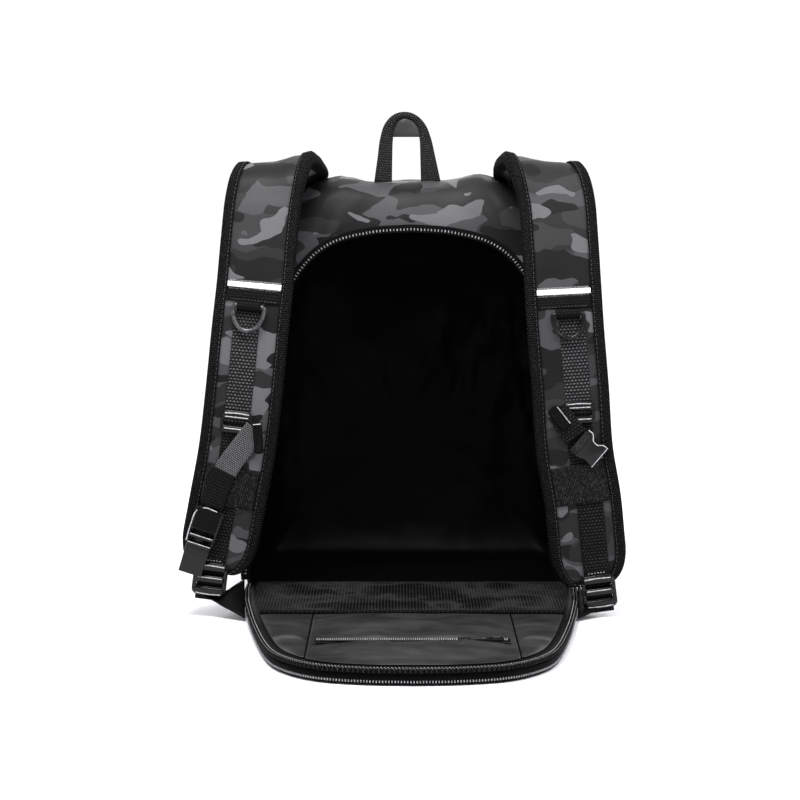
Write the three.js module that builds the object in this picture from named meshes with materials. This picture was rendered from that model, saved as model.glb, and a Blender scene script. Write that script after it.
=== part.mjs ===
// A backpack that carries a motorcycle helmet, standing on its base with its whole arched back panel
// unzipped and folded down on the floor. Millimetres, +Z up, the origin in the middle of the base on the
// floor. The open side faces -Y, and left (-X) and right (+X) are as seen from there.
import * as THREE from 'three'

// Body
const bodyWidth = 340
const bodyHeight = 416
const bodyDepth = 220
const clothWall = 3
const liningWall = 1
const seamGap = 0.3

// Opening and the panel that closes it, which share one outline
const openingInset = 3
const yokeHeight = 47
const openingWidth = bodyWidth - 2 * openingInset
const openingHeight = bodyHeight - yokeHeight
const flapThickness = 15
const flapBevel = 4
const hingeGap = 0.4
const zipperTapeThickness = 1.2
const zipperTapeWidth = 8
const zipperFoot = 3
const pipingRadius = 2
const netLength = 155
const netThickness = 1
const pocketHalfWidth = 91
const pocketThickness = 2
const pocketMargin = 8
const pocketSeam = 1.5
const pocketZipperReach = 280
const pocketZipperLength = 170
const pocketZipperWidth = 9
const pocketZipperThickness = 1.2
const sliderLength = 12
const sliderWidth = 8
const sliderHeight = 3
const pullLength = 26
const pullWidth = 4
const pullThickness = 1.5

// Haul loop
const handleHeight = 70
const handleCentre = -3.5
const handleDepthShare = 0.17
const handleWebbingThickness = 2.5
const handleFoldThickness = 10
const gripThickness = 5
const gripHeight = 22
const gripClearance = 0.36

// Shoulder straps
const strapWidth = 74
const strapThickness = 10
const strapChamfer = 3.2
const strapRise = 23
const strapHeight = bodyHeight + strapRise
const strapStandoff = 92
const bindingReach = 11
const bindingWall = 1.2
const bindingGap = 0.9
const endInset = 6
const rootClearance = 1
const stripHeight = 5
const stripThickness = 0.6
const crossBandHeight = 13
const crossBandThickness = 1.2
const elasticHeight = 37.5
const elasticThickness = 1.2

// Webbing and hardware
const webbingWidth = 25
const webbingThickness = 1.5
const ringWidth = 34
const ringHeight = 28
const ringWire = 4.2
const ringCorner = 3
const ringCornerCut = 0.3
const ringArcSteps = 12
const ringClearance = 0.6
const ringLift = 6.5
const keeperWall = 1.3
const keeperWidth = 23
const glideWidth = 30
const glideHeight = 21
const glideThickness = 2.4
const glideBar = 3
const glideRim = 2.2
const lockWidth = 32
const lockHeight = 32
const lockThickness = 3
const lockBar = 3.4
const lockRim = 3
const slotCorner = 0.8
const slotRoom = 0.5
const threadRoom = 1
const sternumWidth = 22.5
const buckleThickness = 6
const adjusterLength = 18
const wingFrom = 30
const wingTo = 108
const wingThickness = 2
const wingLap = 2
const wingSink = 1.5
const wingSteps = 4

const openingY = -bodyDepth / 2
const cornerShare = 0.055
// Where the body outline turns over its shoulder, how far its slope is measured, and how often a search
// halves its range
const shoulderShare = 0.7
const slopeReach = 0.02
const halvings = 30
const bodyPoints = 36
const runSteps = 28

const cloth = material('camouflage cloth', 0x33353a, 0.8)
const black = material('black cloth', 0x0b0b0d, 0.9)
const nylon = material('grey nylon', 0x232427, 0.7)
const webbing = material('webbing', 0x202124, 0.85)
const reflective = material('reflective strip', 0xf4f4f4, 0.4)
const plastic = material('black plastic', 0x0a0a0b, 0.3)
const metal = material('ring metal', 0x1b1c1e, 0.25, 0.9)
const teeth = material('zip teeth', 0x8b8d90, 0.4)

const bag = new THREE.Group()

function material(name, color, roughness, metalness = 0) {
  return new THREE.MeshStandardMaterial({ name, color, roughness, metalness })
}

function add(name, geometry, look) {
  const mesh = new THREE.Mesh(geometry, look)
  mesh.name = name
  bag.add(mesh)
}

// Closed meshes

function closedGeometry(points, triangles) {
  const box = new THREE.Box3().setFromPoints(points)
  const middle = box.getCenter(new THREE.Vector3())
  let volume = 0
  for (const [a, b, c] of triangles) {
    const [p, q, r] = [points[a], points[b], points[c]].map((v) => v.clone().sub(middle))
    volume += p.dot(q.cross(r))
  }
  const faces = volume < 0 ? triangles.map(([a, b, c]) => [a, c, b]) : triangles
  const geometry = new THREE.BufferGeometry().setFromPoints(points)
  geometry.setIndex(faces.flat())
  geometry.computeVertexNormals()
  return geometry
}

// Joins rings of equally many points. The ends close on a pole, on each other in a loop, or across the ring
// by a flat plan of it. The first quads, up to turned, are split along their other diagonal.
function loft(rings, { poles = null, plan = null, loop = false, turned = 0 } = {}) {
  const count = rings[0].length
  const points = rings.flat()
  const triangles = []
  const joins = loop ? rings.length : rings.length - 1
  for (let i = 0; i < joins; i++) {
    const near = i * count
    const far = ((i + 1) % rings.length) * count
    for (let j = 0; j < count; j++) {
      const k = (j + 1) % count
      if (i < turned) triangles.push([near + j, near + k, far + j], [near + k, far + k, far + j])
      else triangles.push([near + j, near + k, far + k], [near + j, far + k, far + j])
    }
  }
  const last = (rings.length - 1) * count
  if (poles) {
    points.push(poles[0], poles[1])
    for (let j = 0; j < count; j++) {
      const k = (j + 1) % count
      triangles.push([points.length - 2, k, j], [points.length - 1, last + j, last + k])
    }
  }
  if (plan) {
    const turn = THREE.ShapeUtils.isClockWise(plan) ? -1 : 1
    for (const [a, b, c] of THREE.ShapeUtils.triangulateShape(plan, [])) {
      triangles.push(turn > 0 ? [a, c, b] : [a, b, c])
      triangles.push(turn > 0 ? [last + a, last + b, last + c] : [last + a, last + c, last + b])
    }
  }
  return closedGeometry(points, triangles)
}

// Sweeps a flat section through frames, each with a position and the directions across and out.
function sweep(frames, section) {
  const rings = frames.map((frame) => section.map(([across, out]) => frame.position.clone()
    .addScaledVector(frame.across, across)
    .addScaledVector(frame.out, out)))
  return loft(rings, { plan: section.map(([a, b]) => new THREE.Vector2(a, b)) })
}

function flatSection(width, thickness, lift = 0, shift = 0) {
  const [a, b] = [shift - width / 2, shift + width / 2]
  return [[a, lift], [b, lift], [b, lift + thickness], [a, lift + thickness]]
}

function roundSection(radius, sides) {
  return Array.from({ length: sides }, (_, k) => {
    const angle = (2 * Math.PI * (k + 0.5)) / sides
    return [radius * Math.cos(angle), radius * Math.sin(angle)]
  })
}

function extrude(shape, depth, curveSegments = 6) {
  return new THREE.ExtrudeGeometry(shape, { depth, bevelEnabled: false, curveSegments })
}

// Puts a geometry drawn in x, y and z along the three given directions.
function place(geometry, position, x, y, z) {
  const basis = new THREE.Matrix4().makeBasis(x, y, z).setPosition(position)
  geometry.applyMatrix4(basis)
  if (basis.determinant() < 0) {
    const order = geometry.index
      ? Array.from(geometry.index.array)
      : Array.from({ length: geometry.attributes.position.count }, (_, k) => k)
    for (let k = 0; k < order.length; k += 3) [order[k], order[k + 1]] = [order[k + 1], order[k]]
    geometry.setIndex(order)
    geometry.computeVertexNormals()
  }
  return geometry
}

function roundedRectangle(width, height, radius, shape = new THREE.Shape(), middle = [0, 0]) {
  const [x, y] = [middle[0] - width / 2, middle[1] - height / 2]
  shape.moveTo(x + radius, y)
  shape.lineTo(x + width - radius, y)
  shape.absarc(x + width - radius, y + radius, radius, -Math.PI / 2, 0)
  shape.lineTo(x + width, y + height - radius)
  shape.absarc(x + width - radius, y + height - radius, radius, 0, Math.PI / 2)
  shape.lineTo(x + radius, y + height)
  shape.absarc(x + radius, y + height - radius, radius, Math.PI / 2, Math.PI)
  shape.lineTo(x, y + radius)
  shape.absarc(x + radius, y + radius, radius, Math.PI, 1.5 * Math.PI)
  return shape
}

// Outlines, seen from the open side, from the middle of the base up the right side to the middle of the
// top. across is a share of half the width, up a share of the height.
const bodyOutline = [
  { across: 0, up: 0 },
  { across: 0.5, up: 0 },
  { across: 0.9, up: 0 },
  { across: 0.985, up: 0.02 },
  { across: 1, up: 0.07 },
  { across: 1, up: 0.24 },
  { across: 0.988, up: 0.48 },
  { across: 0.94, up: 0.72 },
  { across: 0.84, up: 0.86 },
  { across: 0.68, up: 0.965 },
  { across: 0.44, up: 1.014 },
  { across: 0.22, up: 1 },
  { across: 0, up: 1 },
]

const openingOutline = [
  { across: 0, up: 0 },
  { across: 0.5, up: 0 },
  { across: 0.88, up: 0 },
  { across: 0.96, up: 0.012 },
  { across: 0.99, up: 0.05 },
  { across: 0.985, up: 0.12 },
  { across: 0.958, up: 0.271 },
  { across: 0.874, up: 0.542 },
  { across: 0.766, up: 0.786 },
  { across: 0.65, up: 0.894 },
  { across: 0.479, up: 0.962 },
  { across: 0.24, up: 0.992 },
  { across: 0, up: 1 },
]

function outlineCurve(rows, width, height) {
  const points = rows.map((row) => new THREE.Vector2((row.across * width) / 2, row.up * height))
  return new THREE.SplineCurve(points)
}

const bodyCurve = outlineCurve(bodyOutline, bodyWidth, bodyHeight)
const openingCurve = outlineCurve(openingOutline, openingWidth, openingHeight)

// Sections of the body from the opening back: how far in, how much of the outline is the body's and not
// the opening's, the widths and tops as shares, and how far the bottom is lifted.
const bodySections = [
  { depth: 0, blend: 0, width: 1, top: 1, lift: 0 },
  { depth: 0.014, blend: 0.3, width: 1, top: 1, lift: 0 },
  { depth: 0.05, blend: 0.64, width: 1, top: 1, lift: 0 },
  { depth: 0.1, blend: 0.88, width: 1, top: 1, lift: 0 },
  { depth: 0.17, blend: 1, width: 1, top: 1, lift: 0 },
  { depth: 0.36, blend: 1, width: 1, top: 1, lift: 0 },
  { depth: 0.55, blend: 1, width: 1, top: 0.965, lift: 0 },
  { depth: 0.72, blend: 1, width: 0.99, top: 0.895, lift: 0 },
  { depth: 0.86, blend: 1, width: 0.96, top: 0.8, lift: 0 },
  { depth: 0.95, blend: 1, width: 0.9, top: 0.7, lift: 0.02 },
  { depth: 1.02, blend: 1, width: 0.74, top: 0.57, lift: 0.09 },
  { depth: 1.05, blend: 1, width: 0.4, top: 0.45, lift: 0.2 },
]
const backPole = { depth: 1.055, up: 0.32 }
const yokeSections = 4
const sleeveSections = 7

// A point of the body's outer surface. share runs from the middle of the base to the middle of the top.
function bodyPoint(section, share, side) {
  const atOpening = openingCurve.getPointAt(share)
  const atBody = bodyCurve.getPointAt(share)
  const flat = atOpening.lerp(atBody, section.blend)
  const up = section.lift * bodyHeight + flat.y * (section.top - section.lift)
  const y = openingY + section.depth * bodyDepth
  return new THREE.Vector3(side * flat.x * section.width, y, Math.max(0, up))
}

function sectionAt(depth) {
  const next = bodySections.findIndex((row) => row.depth >= depth)
  const [a, b] = [bodySections[Math.max(0, next - 1)], bodySections[next]]
  const share = b.depth === a.depth ? 0 : (depth - a.depth) / (b.depth - a.depth)
  const mixed = {}
  for (const key of Object.keys(a)) mixed[key] = a[key] + (b[key] - a[key]) * share
  return mixed
}

// The body's surface as rings, moved inwards along its own normals.
function bodyRings(inwards) {
  const half = bodyPoints / 2
  const grid = bodySections.map((section) => Array.from({ length: bodyPoints }, (_, j) => (j <= half
    ? bodyPoint(section, j / half, 1)
    : bodyPoint(section, (bodyPoints - j) / half, -1))))
  return grid.map((ring, i) => ring.map((point, j) => {
    const before = grid[Math.max(0, i - 1)][j]
    const after = grid[Math.min(grid.length - 1, i + 1)][j]
    const next = ring[(j + 1) % bodyPoints]
    const last = ring[(j + bodyPoints - 1) % bodyPoints]
    const along = next.clone().sub(last)
    const back = after.clone().sub(before)
    const outwards = back.cross(along).normalize()
    outwards.y = Math.min(0, outwards.y) + Math.max(0, outwards.y) * Math.min(1, i)
    return point.clone().addScaledVector(outwards, -inwards)
  }))
}

function bodyPole(inwards) {
  return new THREE.Vector3(0, openingY + backPole.depth * bodyDepth - inwards, backPole.up * bodyHeight)
}

// A wall of the body's surface, from one section to another or to the pole at the far side.
function wall(outer, inner, from, to) {
  const inside = bodyRings(inner).slice(from, to + 1).reverse()
  const rings = [...inside, ...bodyRings(outer).slice(from, to + 1)]
  const closed = to === bodySections.length - 1
  return loft(rings, {
    poles: closed ? [bodyPole(inner), bodyPole(outer)] : null,
    loop: !closed,
    turned: inside.length,
  })
}

// The cloth is sewn from three panels: the yoke round the opening, the sleeve behind it and the far side.
const lastSection = bodySections.length - 1
add('body_yoke', wall(0, clothWall, 0, yokeSections), cloth)
add('body_shell', wall(0, clothWall, yokeSections, sleeveSections), cloth)
add('body_back', wall(0, clothWall, sleeveSections, lastSection), cloth)
const liningFace = clothWall + seamGap
add('body_lining', wall(liningFace, liningFace + liningWall, 0, lastSection), black)

// The opening's outline as an open line from the hinge up one side, over the top and down the other,
// moved inwards. The first points on the base are left out.
function openingLine(inwards, from, count) {
  const start = heightShare(openingCurve, from)
  const side = Array.from({ length: count + 1 }, (_, k) => {
    const share = start + ((1 - start) * k) / count
    const point = openingCurve.getPointAt(share)
    const tangent = openingCurve.getTangentAt(share)
    return new THREE.Vector2(point.x - tangent.y * inwards, point.y + tangent.x * inwards)
  })
  side[count].x = 0
  return [...side, ...side.slice(0, count).reverse().map((point) => new THREE.Vector2(-point.x, point.y))]
}

// The last place from low to high, within a hair, where a test that stops holding on the way still holds.
function lastPlace(low, high, holds) {
  let [from, to] = [low, high]
  for (let k = 0; k < halvings; k++) {
    const middle = (from + to) / 2
    if (holds(middle)) from = middle
    else to = middle
  }
  return from
}

// Where an outline's right side reaches a height, as a share of its length.
function heightShare(curve, height) {
  return lastPlace(0, 1, (share) => curve.getPointAt(share).y < height)
}

// Frames along a flat line. toSpace puts a point of the line in space, and out is square to the line.
function lineFrames(line, toSpace, out) {
  return line.map((point, k) => {
    const before = toSpace(line[Math.max(0, k - 1)])
    const after = toSpace(line[Math.min(line.length - 1, k + 1)])
    const along = after.sub(before).normalize()
    return { position: toSpace(point), across: along.cross(out).normalize(), out }
  })
}

const bodyZipperLine = openingLine(0, flapThickness + zipperFoot, 16)
const standing = (point) => new THREE.Vector3(point.x, openingY - seamGap, point.y)
add('body_zipper', sweep(
  lineFrames(bodyZipperLine, standing, new THREE.Vector3(0, -1, 0)),
  flatSection(zipperTapeWidth, zipperTapeThickness, 0, zipperTapeWidth / 4),
), teeth)

// The folded panel, lying on the floor. reach is the distance from the hinge.
function lying(height) {
  return (point) => new THREE.Vector3(point.x, openingY - hingeGap - point.y, height)
}

const up = new THREE.Vector3(0, 0, 1)
const zipperInset = 2 * pipingRadius - zipperTapeThickness
const panelInset = 2 * pipingRadius + seamGap

function flatShape(points) {
  return new THREE.Shape(points)
}

// Lays a flat drawing of x and reach on the floor side, rising from a height.
function lay(geometry, height) {
  return place(
    geometry,
    new THREE.Vector3(0, openingY - hingeGap, height),
    new THREE.Vector3(1, 0, 0),
    new THREE.Vector3(0, -1, 0),
    up,
  )
}

// The panel's outline from one end of the hinge to the other. Its sides meet the hinge straight.
function panelLine(inset, foot) {
  const line = openingLine(inset, openingHeight * cornerShare, 13)
  const [first, last] = [line[0], line[line.length - 1]]
  return [new THREE.Vector2(first.x, foot), ...line, new THREE.Vector2(last.x, foot)]
}

add('flap_panel', lay(new THREE.ExtrudeGeometry(flatShape(panelLine(panelInset, 0)), {
  depth: flapThickness - 2 * flapBevel,
  bevelThickness: flapBevel,
  bevelSize: flapBevel,
  bevelOffset: -flapBevel,
  bevelSegments: 2,
}), flapBevel), nylon)

add('flap_zipper', sweep(
  lineFrames(panelLine(zipperInset, zipperFoot), lying(zipperTapeThickness), up),
  flatSection(zipperTapeThickness, zipperTapeWidth),
), teeth)

add('flap_binding', sweep(
  lineFrames(panelLine(pipingRadius, zipperFoot), lying(flapThickness - pipingRadius), up),
  roundSection(pipingRadius, 6),
), black)

// Cloth that lies on the panel: its outline, cut to a range of reach and of x.
function clip(polygon, inside, cross) {
  return polygon.flatMap((point, k) => {
    const next = polygon[(k + 1) % polygon.length]
    const kept = inside(point) ? [point] : []
    return inside(point) === inside(next) ? kept : [...kept, cross(point, next)]
  })
}

function cut(polygon, axis, limit, sign) {
  return clip(
    polygon,
    (point) => sign * (point[axis] - limit) >= 0,
    (a, b) => a.clone().lerp(b, (limit - a[axis]) / (b[axis] - a[axis])),
  )
}

function patch(fromReach, toReach, fromX, toX) {
  let shape = panelLine(panelInset + pocketMargin, 0)
  shape = cut(shape, 'y', fromReach, 1)
  shape = cut(shape, 'y', toReach, -1)
  shape = cut(shape, 'x', fromX, 1)
  return flatShape(cut(shape, 'x', toX, -1))
}

const flapTop = flapThickness + seamGap
const pocketFrom = netLength + pocketSeam
const seamFrom = pocketHalfWidth + pocketSeam
add('flap_mesh', lay(extrude(
  patch(pocketSeam, netLength, -openingWidth, openingWidth),
  netThickness,
), flapTop), black)
add('flap_pocket', lay(extrude(
  patch(pocketFrom, openingHeight, -pocketHalfWidth, pocketHalfWidth),
  pocketThickness,
), flapTop), nylon)
add('flap_pleat_left', lay(extrude(
  patch(pocketFrom, openingHeight, -openingWidth, -seamFrom),
  pocketThickness,
), flapTop), nylon)
add('flap_pleat_right', lay(extrude(
  patch(pocketFrom, openingHeight, seamFrom, openingWidth),
  pocketThickness,
), flapTop), nylon)

// The pocket's zip lies on the pocket, with its slider near the right end and the pull towards the middle.
const pocketTop = flapTop + pocketThickness + seamGap
const zipTop = pocketTop + pocketZipperThickness + seamGap
const sliderX = pocketZipperLength / 2 - sliderLength

function bar(length, width, height, x, reach, z) {
  const box = new THREE.BoxGeometry(length, width, height)
  return box.translate(x, openingY - hingeGap - reach, z + height / 2)
}

add('pocket_zipper', bar(
  pocketZipperLength,
  pocketZipperWidth,
  pocketZipperThickness,
  0,
  pocketZipperReach,
  pocketTop,
), teeth)
add('pocket_slider', bar(
  sliderLength,
  sliderWidth,
  sliderHeight,
  sliderX,
  pocketZipperReach,
  zipTop,
), plastic)
add('pocket_pull', bar(
  pullLength,
  pullWidth,
  pullThickness,
  sliderX - sliderLength / 2 - seamGap - pullLength / 2,
  pocketZipperReach,
  zipTop,
), plastic)

// Haul loop: a webbing arch whose middle is folded over a smooth grip. across and up are shares of the
// loop's height, width is the share of the strap webbing's that shows in the plane of the loop, and fold
// how much of it is turned over.
const handleRows = [
  { across: -0.35, up: 0, width: 0.72, fold: 0 },
  { across: -0.325, up: 0.33, width: 0.6, fold: 0 },
  { across: -0.3, up: 0.62, width: 0.52, fold: 0.1 },
  { across: -0.255, up: 0.8, width: 0.44, fold: 0.5 },
  { across: -0.17, up: 0.915, width: 0.32, fold: 0.9 },
  { across: -0.04, up: 0.96, width: 0.24, fold: 1 },
  { across: 0.09, up: 0.92, width: 0.28, fold: 0.9 },
  { across: 0.2, up: 0.8, width: 0.34, fold: 0.5 },
  { across: 0.255, up: 0.62, width: 0.46, fold: 0.1 },
  { across: 0.295, up: 0.33, width: 0.62, fold: 0 },
  { across: 0.335, up: 0, width: 0.8, fold: 0 },
]
const handleY = openingY + handleDepthShare * bodyDepth
const handleBase = bodyHeight + 2 * seamGap
const handleCurve = new THREE.CatmullRomCurve3(handleRows.map((row) => new THREE.Vector3(
  handleCentre + row.across * handleHeight,
  handleY,
  handleBase + row.up * handleHeight,
)))
const handleSteps = 24
const handleCorner = 1
const apexUp = Math.max(...handleRows.map((row) => row.up))
const gripSteps = 12
const gripSpan = { from: 0.24, to: 0.76 }

function handleAt(share) {
  const place = share * (handleRows.length - 1)
  const low = Math.min(handleRows.length - 2, Math.floor(place))
  const [a, b] = [handleRows[low], handleRows[low + 1]]
  const mix = (key) => a[key] + (b[key] - a[key]) * (place - low)
  const tangent = handleCurve.getTangent(share)
  const flat = share === 0 || share === 1
  return {
    position: handleCurve.getPoint(share),
    across: flat ? new THREE.Vector3(share ? 1 : -1, 0, 0) : new THREE.Vector3(-tangent.z, 0, tangent.x),
    width: mix('width') * webbingWidth,
    thickness: handleWebbingThickness + (handleFoldThickness - handleWebbingThickness) * mix('fold'),
  }
}

const back = new THREE.Vector3(0, 1, 0)
const handleRings = Array.from({ length: handleSteps + 1 }, (_, k) => {
  const frame = handleAt(k / handleSteps)
  const corner = Math.min(handleCorner, frame.thickness / 4)
  const [w, t] = [frame.width / 2, frame.thickness / 2]
  const section = [[-w, -t + corner], [-w + corner, -t], [w - corner, -t], [w, -t + corner],
    [w, t - corner], [w - corner, t], [-w + corner, t], [-w, t - corner]]
  return section.map(([a, b]) => frame.position.clone()
    .addScaledVector(frame.across, a)
    .addScaledVector(back, b))
})
const octagon = roundSection(1, 8).map(([a, b]) => new THREE.Vector2(a, b))
add('handle_webbing', loft(handleRings, { plan: octagon }), webbing)

const gripBottom = handleBase + apexUp * handleHeight - gripHeight
const gripTop = Array.from({ length: gripSteps + 1 }, (_, k) => {
  const frame = handleAt(gripSpan.from + ((gripSpan.to - gripSpan.from) * k) / gripSteps)
  const inner = frame.position.clone().addScaledVector(frame.across, -frame.width / 2 - gripClearance)
  return new THREE.Vector2(inner.x, inner.z)
}).filter((point) => point.y > gripBottom + seamGap)
const gripShape = flatShape([
  new THREE.Vector2(gripTop[0].x, gripBottom),
  ...gripTop,
  new THREE.Vector2(gripTop[gripTop.length - 1].x, gripBottom),
])
add('handle_grip', place(
  extrude(gripShape, gripThickness),
  new THREE.Vector3(0, handleY + gripThickness / 2, 0),
  new THREE.Vector3(1, 0, 0),
  up,
  new THREE.Vector3(0, -1, 0),
), nylon)

// Shoulder straps. Heights are shares of the strap's, forward shares of the standoff in front of the
// opening, across shares of half the body's width, and roll is how far the outer edge drops, in degrees.
const strapRows = [
  { height: 0.962, forward: -0.15, left: 0.712, right: 0.69, roll: 21 },
  { height: 0.984, forward: 0.22, left: 0.776, right: 0.744, roll: 8 },
  { height: 0.957, forward: 0.44, left: 0.812, right: 0.79, roll: 5 },
  { height: 0.908, forward: 0.55, left: 0.84, right: 0.823, roll: 3 },
  { height: 0.82, forward: 0.67, left: 0.862, right: 0.84, roll: 2 },
  { height: 0.725, forward: 0.77, left: 0.882, right: 0.853, roll: 0 },
  { height: 0.629, forward: 0.86, left: 0.908, right: 0.867, roll: 0 },
  { height: 0.5, forward: 0.93, left: 0.941, right: 0.894, roll: 0 },
  { height: 0.367, forward: 0.98, left: 0.982, right: 0.918, roll: 0 },
  { height: 0.257, forward: 1, left: 1.035, right: 0.966, roll: 0 },
  { height: 0.169, forward: 1, left: 1.079, right: 0.99, roll: 0 },
  { height: 0.1, forward: 0.98, left: 1.112, right: 1.01, roll: 0 },
  { height: 0.03, forward: 0.95, left: 1.135, right: 1.035, roll: 0 },
]
// Where the straps are sewn on, behind the crest. thin is the share of the thickness that is left there.
const rootRows = [
  { across: 0.62, depth: 0.4, thin: 0.45 },
  { across: 0.63, depth: 0.24, thin: 0.7 },
]
const facing = strapThickness / 2

// What each strap carries. strip to lock are heights as shares of the strap's, keeperGap is the room between
// the cross band and the keeper, and all other numbers are in widths of the webbing.
const sides = [
  {
    name: 'left',
    sign: -1,
    strip: 0.727,
    glide: 0.428,
    elastic: 0.289,
    end: 0.1,
    lock: 0.087,
    keeperGap: 0.5,
    ringShift: 0.1,
    webbingShift: 0.14,
    sternum: [
      { out: -0.76, down: 0.24, lift: 0.28 },
      { out: -0.24, down: 0.92, lift: 0.296 },
      { out: 0.32, down: 1.68, lift: 0.36 },
      { out: 0.68, down: 2.44, lift: 0.4 },
      { out: 0.96, down: 3.2, lift: 0.46 },
    ],
    buckle: { out: 0.968, down: 3.232, lift: 0.44, toOut: 1.8, toDown: 5.76, width: 1.12, waist: 0.7 },
  },
  {
    name: 'right',
    sign: 1,
    strip: 0.714,
    glide: 0.449,
    elastic: 0.294,
    end: 0.072,
    lock: 0.058,
    keeperGap: 1.4,
    ringShift: 0.088,
    webbingShift: 0.24,
    sternum: [
      { out: -0.94, down: -0.22, lift: 0.288 },
      { out: -0.48, down: 0.4, lift: 0.296 },
      { out: -0.1, down: 0.92, lift: 0.304 },
    ],
    buckle: { out: -0.016, down: 1.036, lift: 0.28, toOut: 0.8, toDown: 1.72, width: 1.08, waist: 0.6 },
  },
]

function strapCurve(side) {
  const roots = rootRows.map((row) => {
    const section = sectionAt(row.depth)
    const x = (row.across * bodyWidth) / 2
    const place = lastPlace(shoulderShare, 1, (share) => bodyPoint(section, share, 1).x > x)
    const point = bodyPoint(section, place, 1)
    const slope = bodyPoint(section, place - slopeReach, 1).sub(bodyPoint(section, place + slopeReach, 1))
    const outwards = new THREE.Vector3(-slope.z, 0, slope.x).normalize()
    const lift = (facing + bindingGap + bindingWall) * row.thin + rootClearance
    const lifted = point.addScaledVector(outwards, lift)
    lifted.x *= side.sign
    return { point: lifted, roll: THREE.MathUtils.radToDeg(Math.atan2(-slope.z, slope.x)), thin: row.thin }
  })
  const rows = strapRows.map((row) => ({
    point: new THREE.Vector3(
      (side.sign * row[side.name] * bodyWidth) / 2,
      openingY - row.forward * strapStandoff,
      row.height * strapHeight,
    ),
    roll: row.roll,
    thin: 1,
  }))
  const all = [...roots, ...rows]
  return {
    curve: new THREE.CatmullRomCurve3(all.map((row) => row.point)),
    rolls: all.map((row) => row.roll),
    thins: all.map((row) => row.thin),
    crest: (roots.length + 1) / (all.length - 1),
  }
}

// The value of a list at a share of its length.
function between(values, share) {
  const place = share * (values.length - 1)
  const low = Math.min(values.length - 2, Math.floor(place))
  return values[low] + (values[low + 1] - values[low]) * (place - low)
}

function strapFrame(side, share) {
  const { curve, rolls } = side.path
  const roll = THREE.MathUtils.degToRad(between(rolls, share))
  const along = curve.getTangent(share)
  const across = new THREE.Vector3(side.sign * Math.cos(roll), 0, -Math.sin(roll))
  across.addScaledVector(along, -across.dot(along)).normalize()
  const out = along.clone().cross(across).multiplyScalar(side.sign)
  return { position: curve.getPoint(share), along, across, out }
}

// Where the curve of a strap's front run passes a height.
function strapShare(side, height) {
  return lastPlace(side.path.crest, 1, (share) => side.path.curve.getPoint(share).z > height)
}

// Frames that the pad and all that lies on it share: first the pad's own, then those past its end.
function strapStations(side) {
  const end = strapShare(side, side.end * strapHeight)
  const pad = Array.from({ length: runSteps + 1 }, (_, k) => strapFrame(side, (end * k) / runSteps))
  return [...pad, strapFrame(side, (end + 1) / 2), strapFrame(side, 1)]
}

// The place of a height on the straight runs between stations, counted in stations.
function placeAtHeight(side, height) {
  const { stations } = side
  const heights = stations.map((frame) => frame.position.z)
  const top = heights.indexOf(Math.max(...heights))
  const next = Math.max(top + 1, heights.findIndex((z, k) => k > top && z <= height))
  return next - (height - heights[next]) / (heights[next - 1] - heights[next])
}

function frameAtPlace(side, place) {
  const low = Math.min(side.stations.length - 2, Math.floor(place))
  const [a, b] = [side.stations[low], side.stations[low + 1]]
  const mixed = {}
  for (const key of Object.keys(a)) mixed[key] = a[key].clone().lerp(b[key], place - low)
  return mixed
}

function frameAtHeight(side, height) {
  const frame = frameAtPlace(side, placeAtHeight(side, height))
  frame.along.normalize()
  frame.across.addScaledVector(frame.along, -frame.across.dot(frame.along)).normalize()
  frame.out = frame.along.clone().cross(frame.across).multiplyScalar(side.sign)
  return frame
}

// Frames at two heights and at every station between them.
function framesBetween(side, top, bottom) {
  const [from, to] = [placeAtHeight(side, top), placeAtHeight(side, bottom)]
  const places = [from]
  for (let k = Math.floor(from) + 1; k < to; k++) places.push(k)
  return [...places, to].map((place) => frameAtPlace(side, place))
}

// A point on a strap's face: across the strap, along it from a height and out from the face.
function onFace(frame, across, along, out) {
  return frame.position.clone()
    .addScaledVector(frame.across, across)
    .addScaledVector(frame.along, along)
    .addScaledVector(frame.out, facing + out)
}

const padWidth = strapWidth - 2 * (bindingWall + bindingGap)
const bandWidth = strapWidth - 2 * bindingReach - 2 * seamGap

// A strap's sections at all its stations: thinned towards the root, and narrowed at the rounded end.
function strapSweep(side, makeSection) {
  const end = strapShare(side, side.end * strapHeight)
  const rings = side.stations.slice(0, runSteps + 1).map((frame, k) => {
    const thin = between(side.path.thins, (end * k) / runSteps)
    return makeSection(k === runSteps ? endInset : 0).map(([across, out]) => frame.position.clone()
      .addScaledVector(frame.across, across)
      .addScaledVector(frame.out, out * thin))
  })
  return loft(rings, { plan: makeSection(0).map(([a, b]) => new THREE.Vector2(a, b)) })
}

function padSection(inset) {
  const [w, t, c] = [padWidth / 2 - inset, strapThickness / 2, strapChamfer]
  const m = w - bindingReach
  return [[-w, -t + c], [-w + c, -t], [-m, -t], [m, -t], [w - c, -t], [w, -t + c],
    [w, t - c], [w - c, t], [m, t], [-m, t], [-w + c, t], [-w, t - c]]
}

// A channel round one edge of the pad, opening towards its middle.
function bindingSection(sign, inset) {
  const edge = sign * (strapWidth / 2 - inset)
  const lip = edge - sign * bindingReach
  const web = edge - sign * bindingWall
  const inner = facing + bindingGap
  const outer = inner + bindingWall
  return [[lip, outer], [edge, outer], [edge, -outer], [lip, -outer], [lip, -inner], [web, -inner],
    [web, inner], [lip, inner]]
}

// A flat piece sewn across or along a strap between two heights.
function strapRibbon(side, top, bottom, width, lift, thickness) {
  return sweep(framesBetween(side, top, bottom), flatSection(width, thickness, facing + lift))
}

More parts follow.
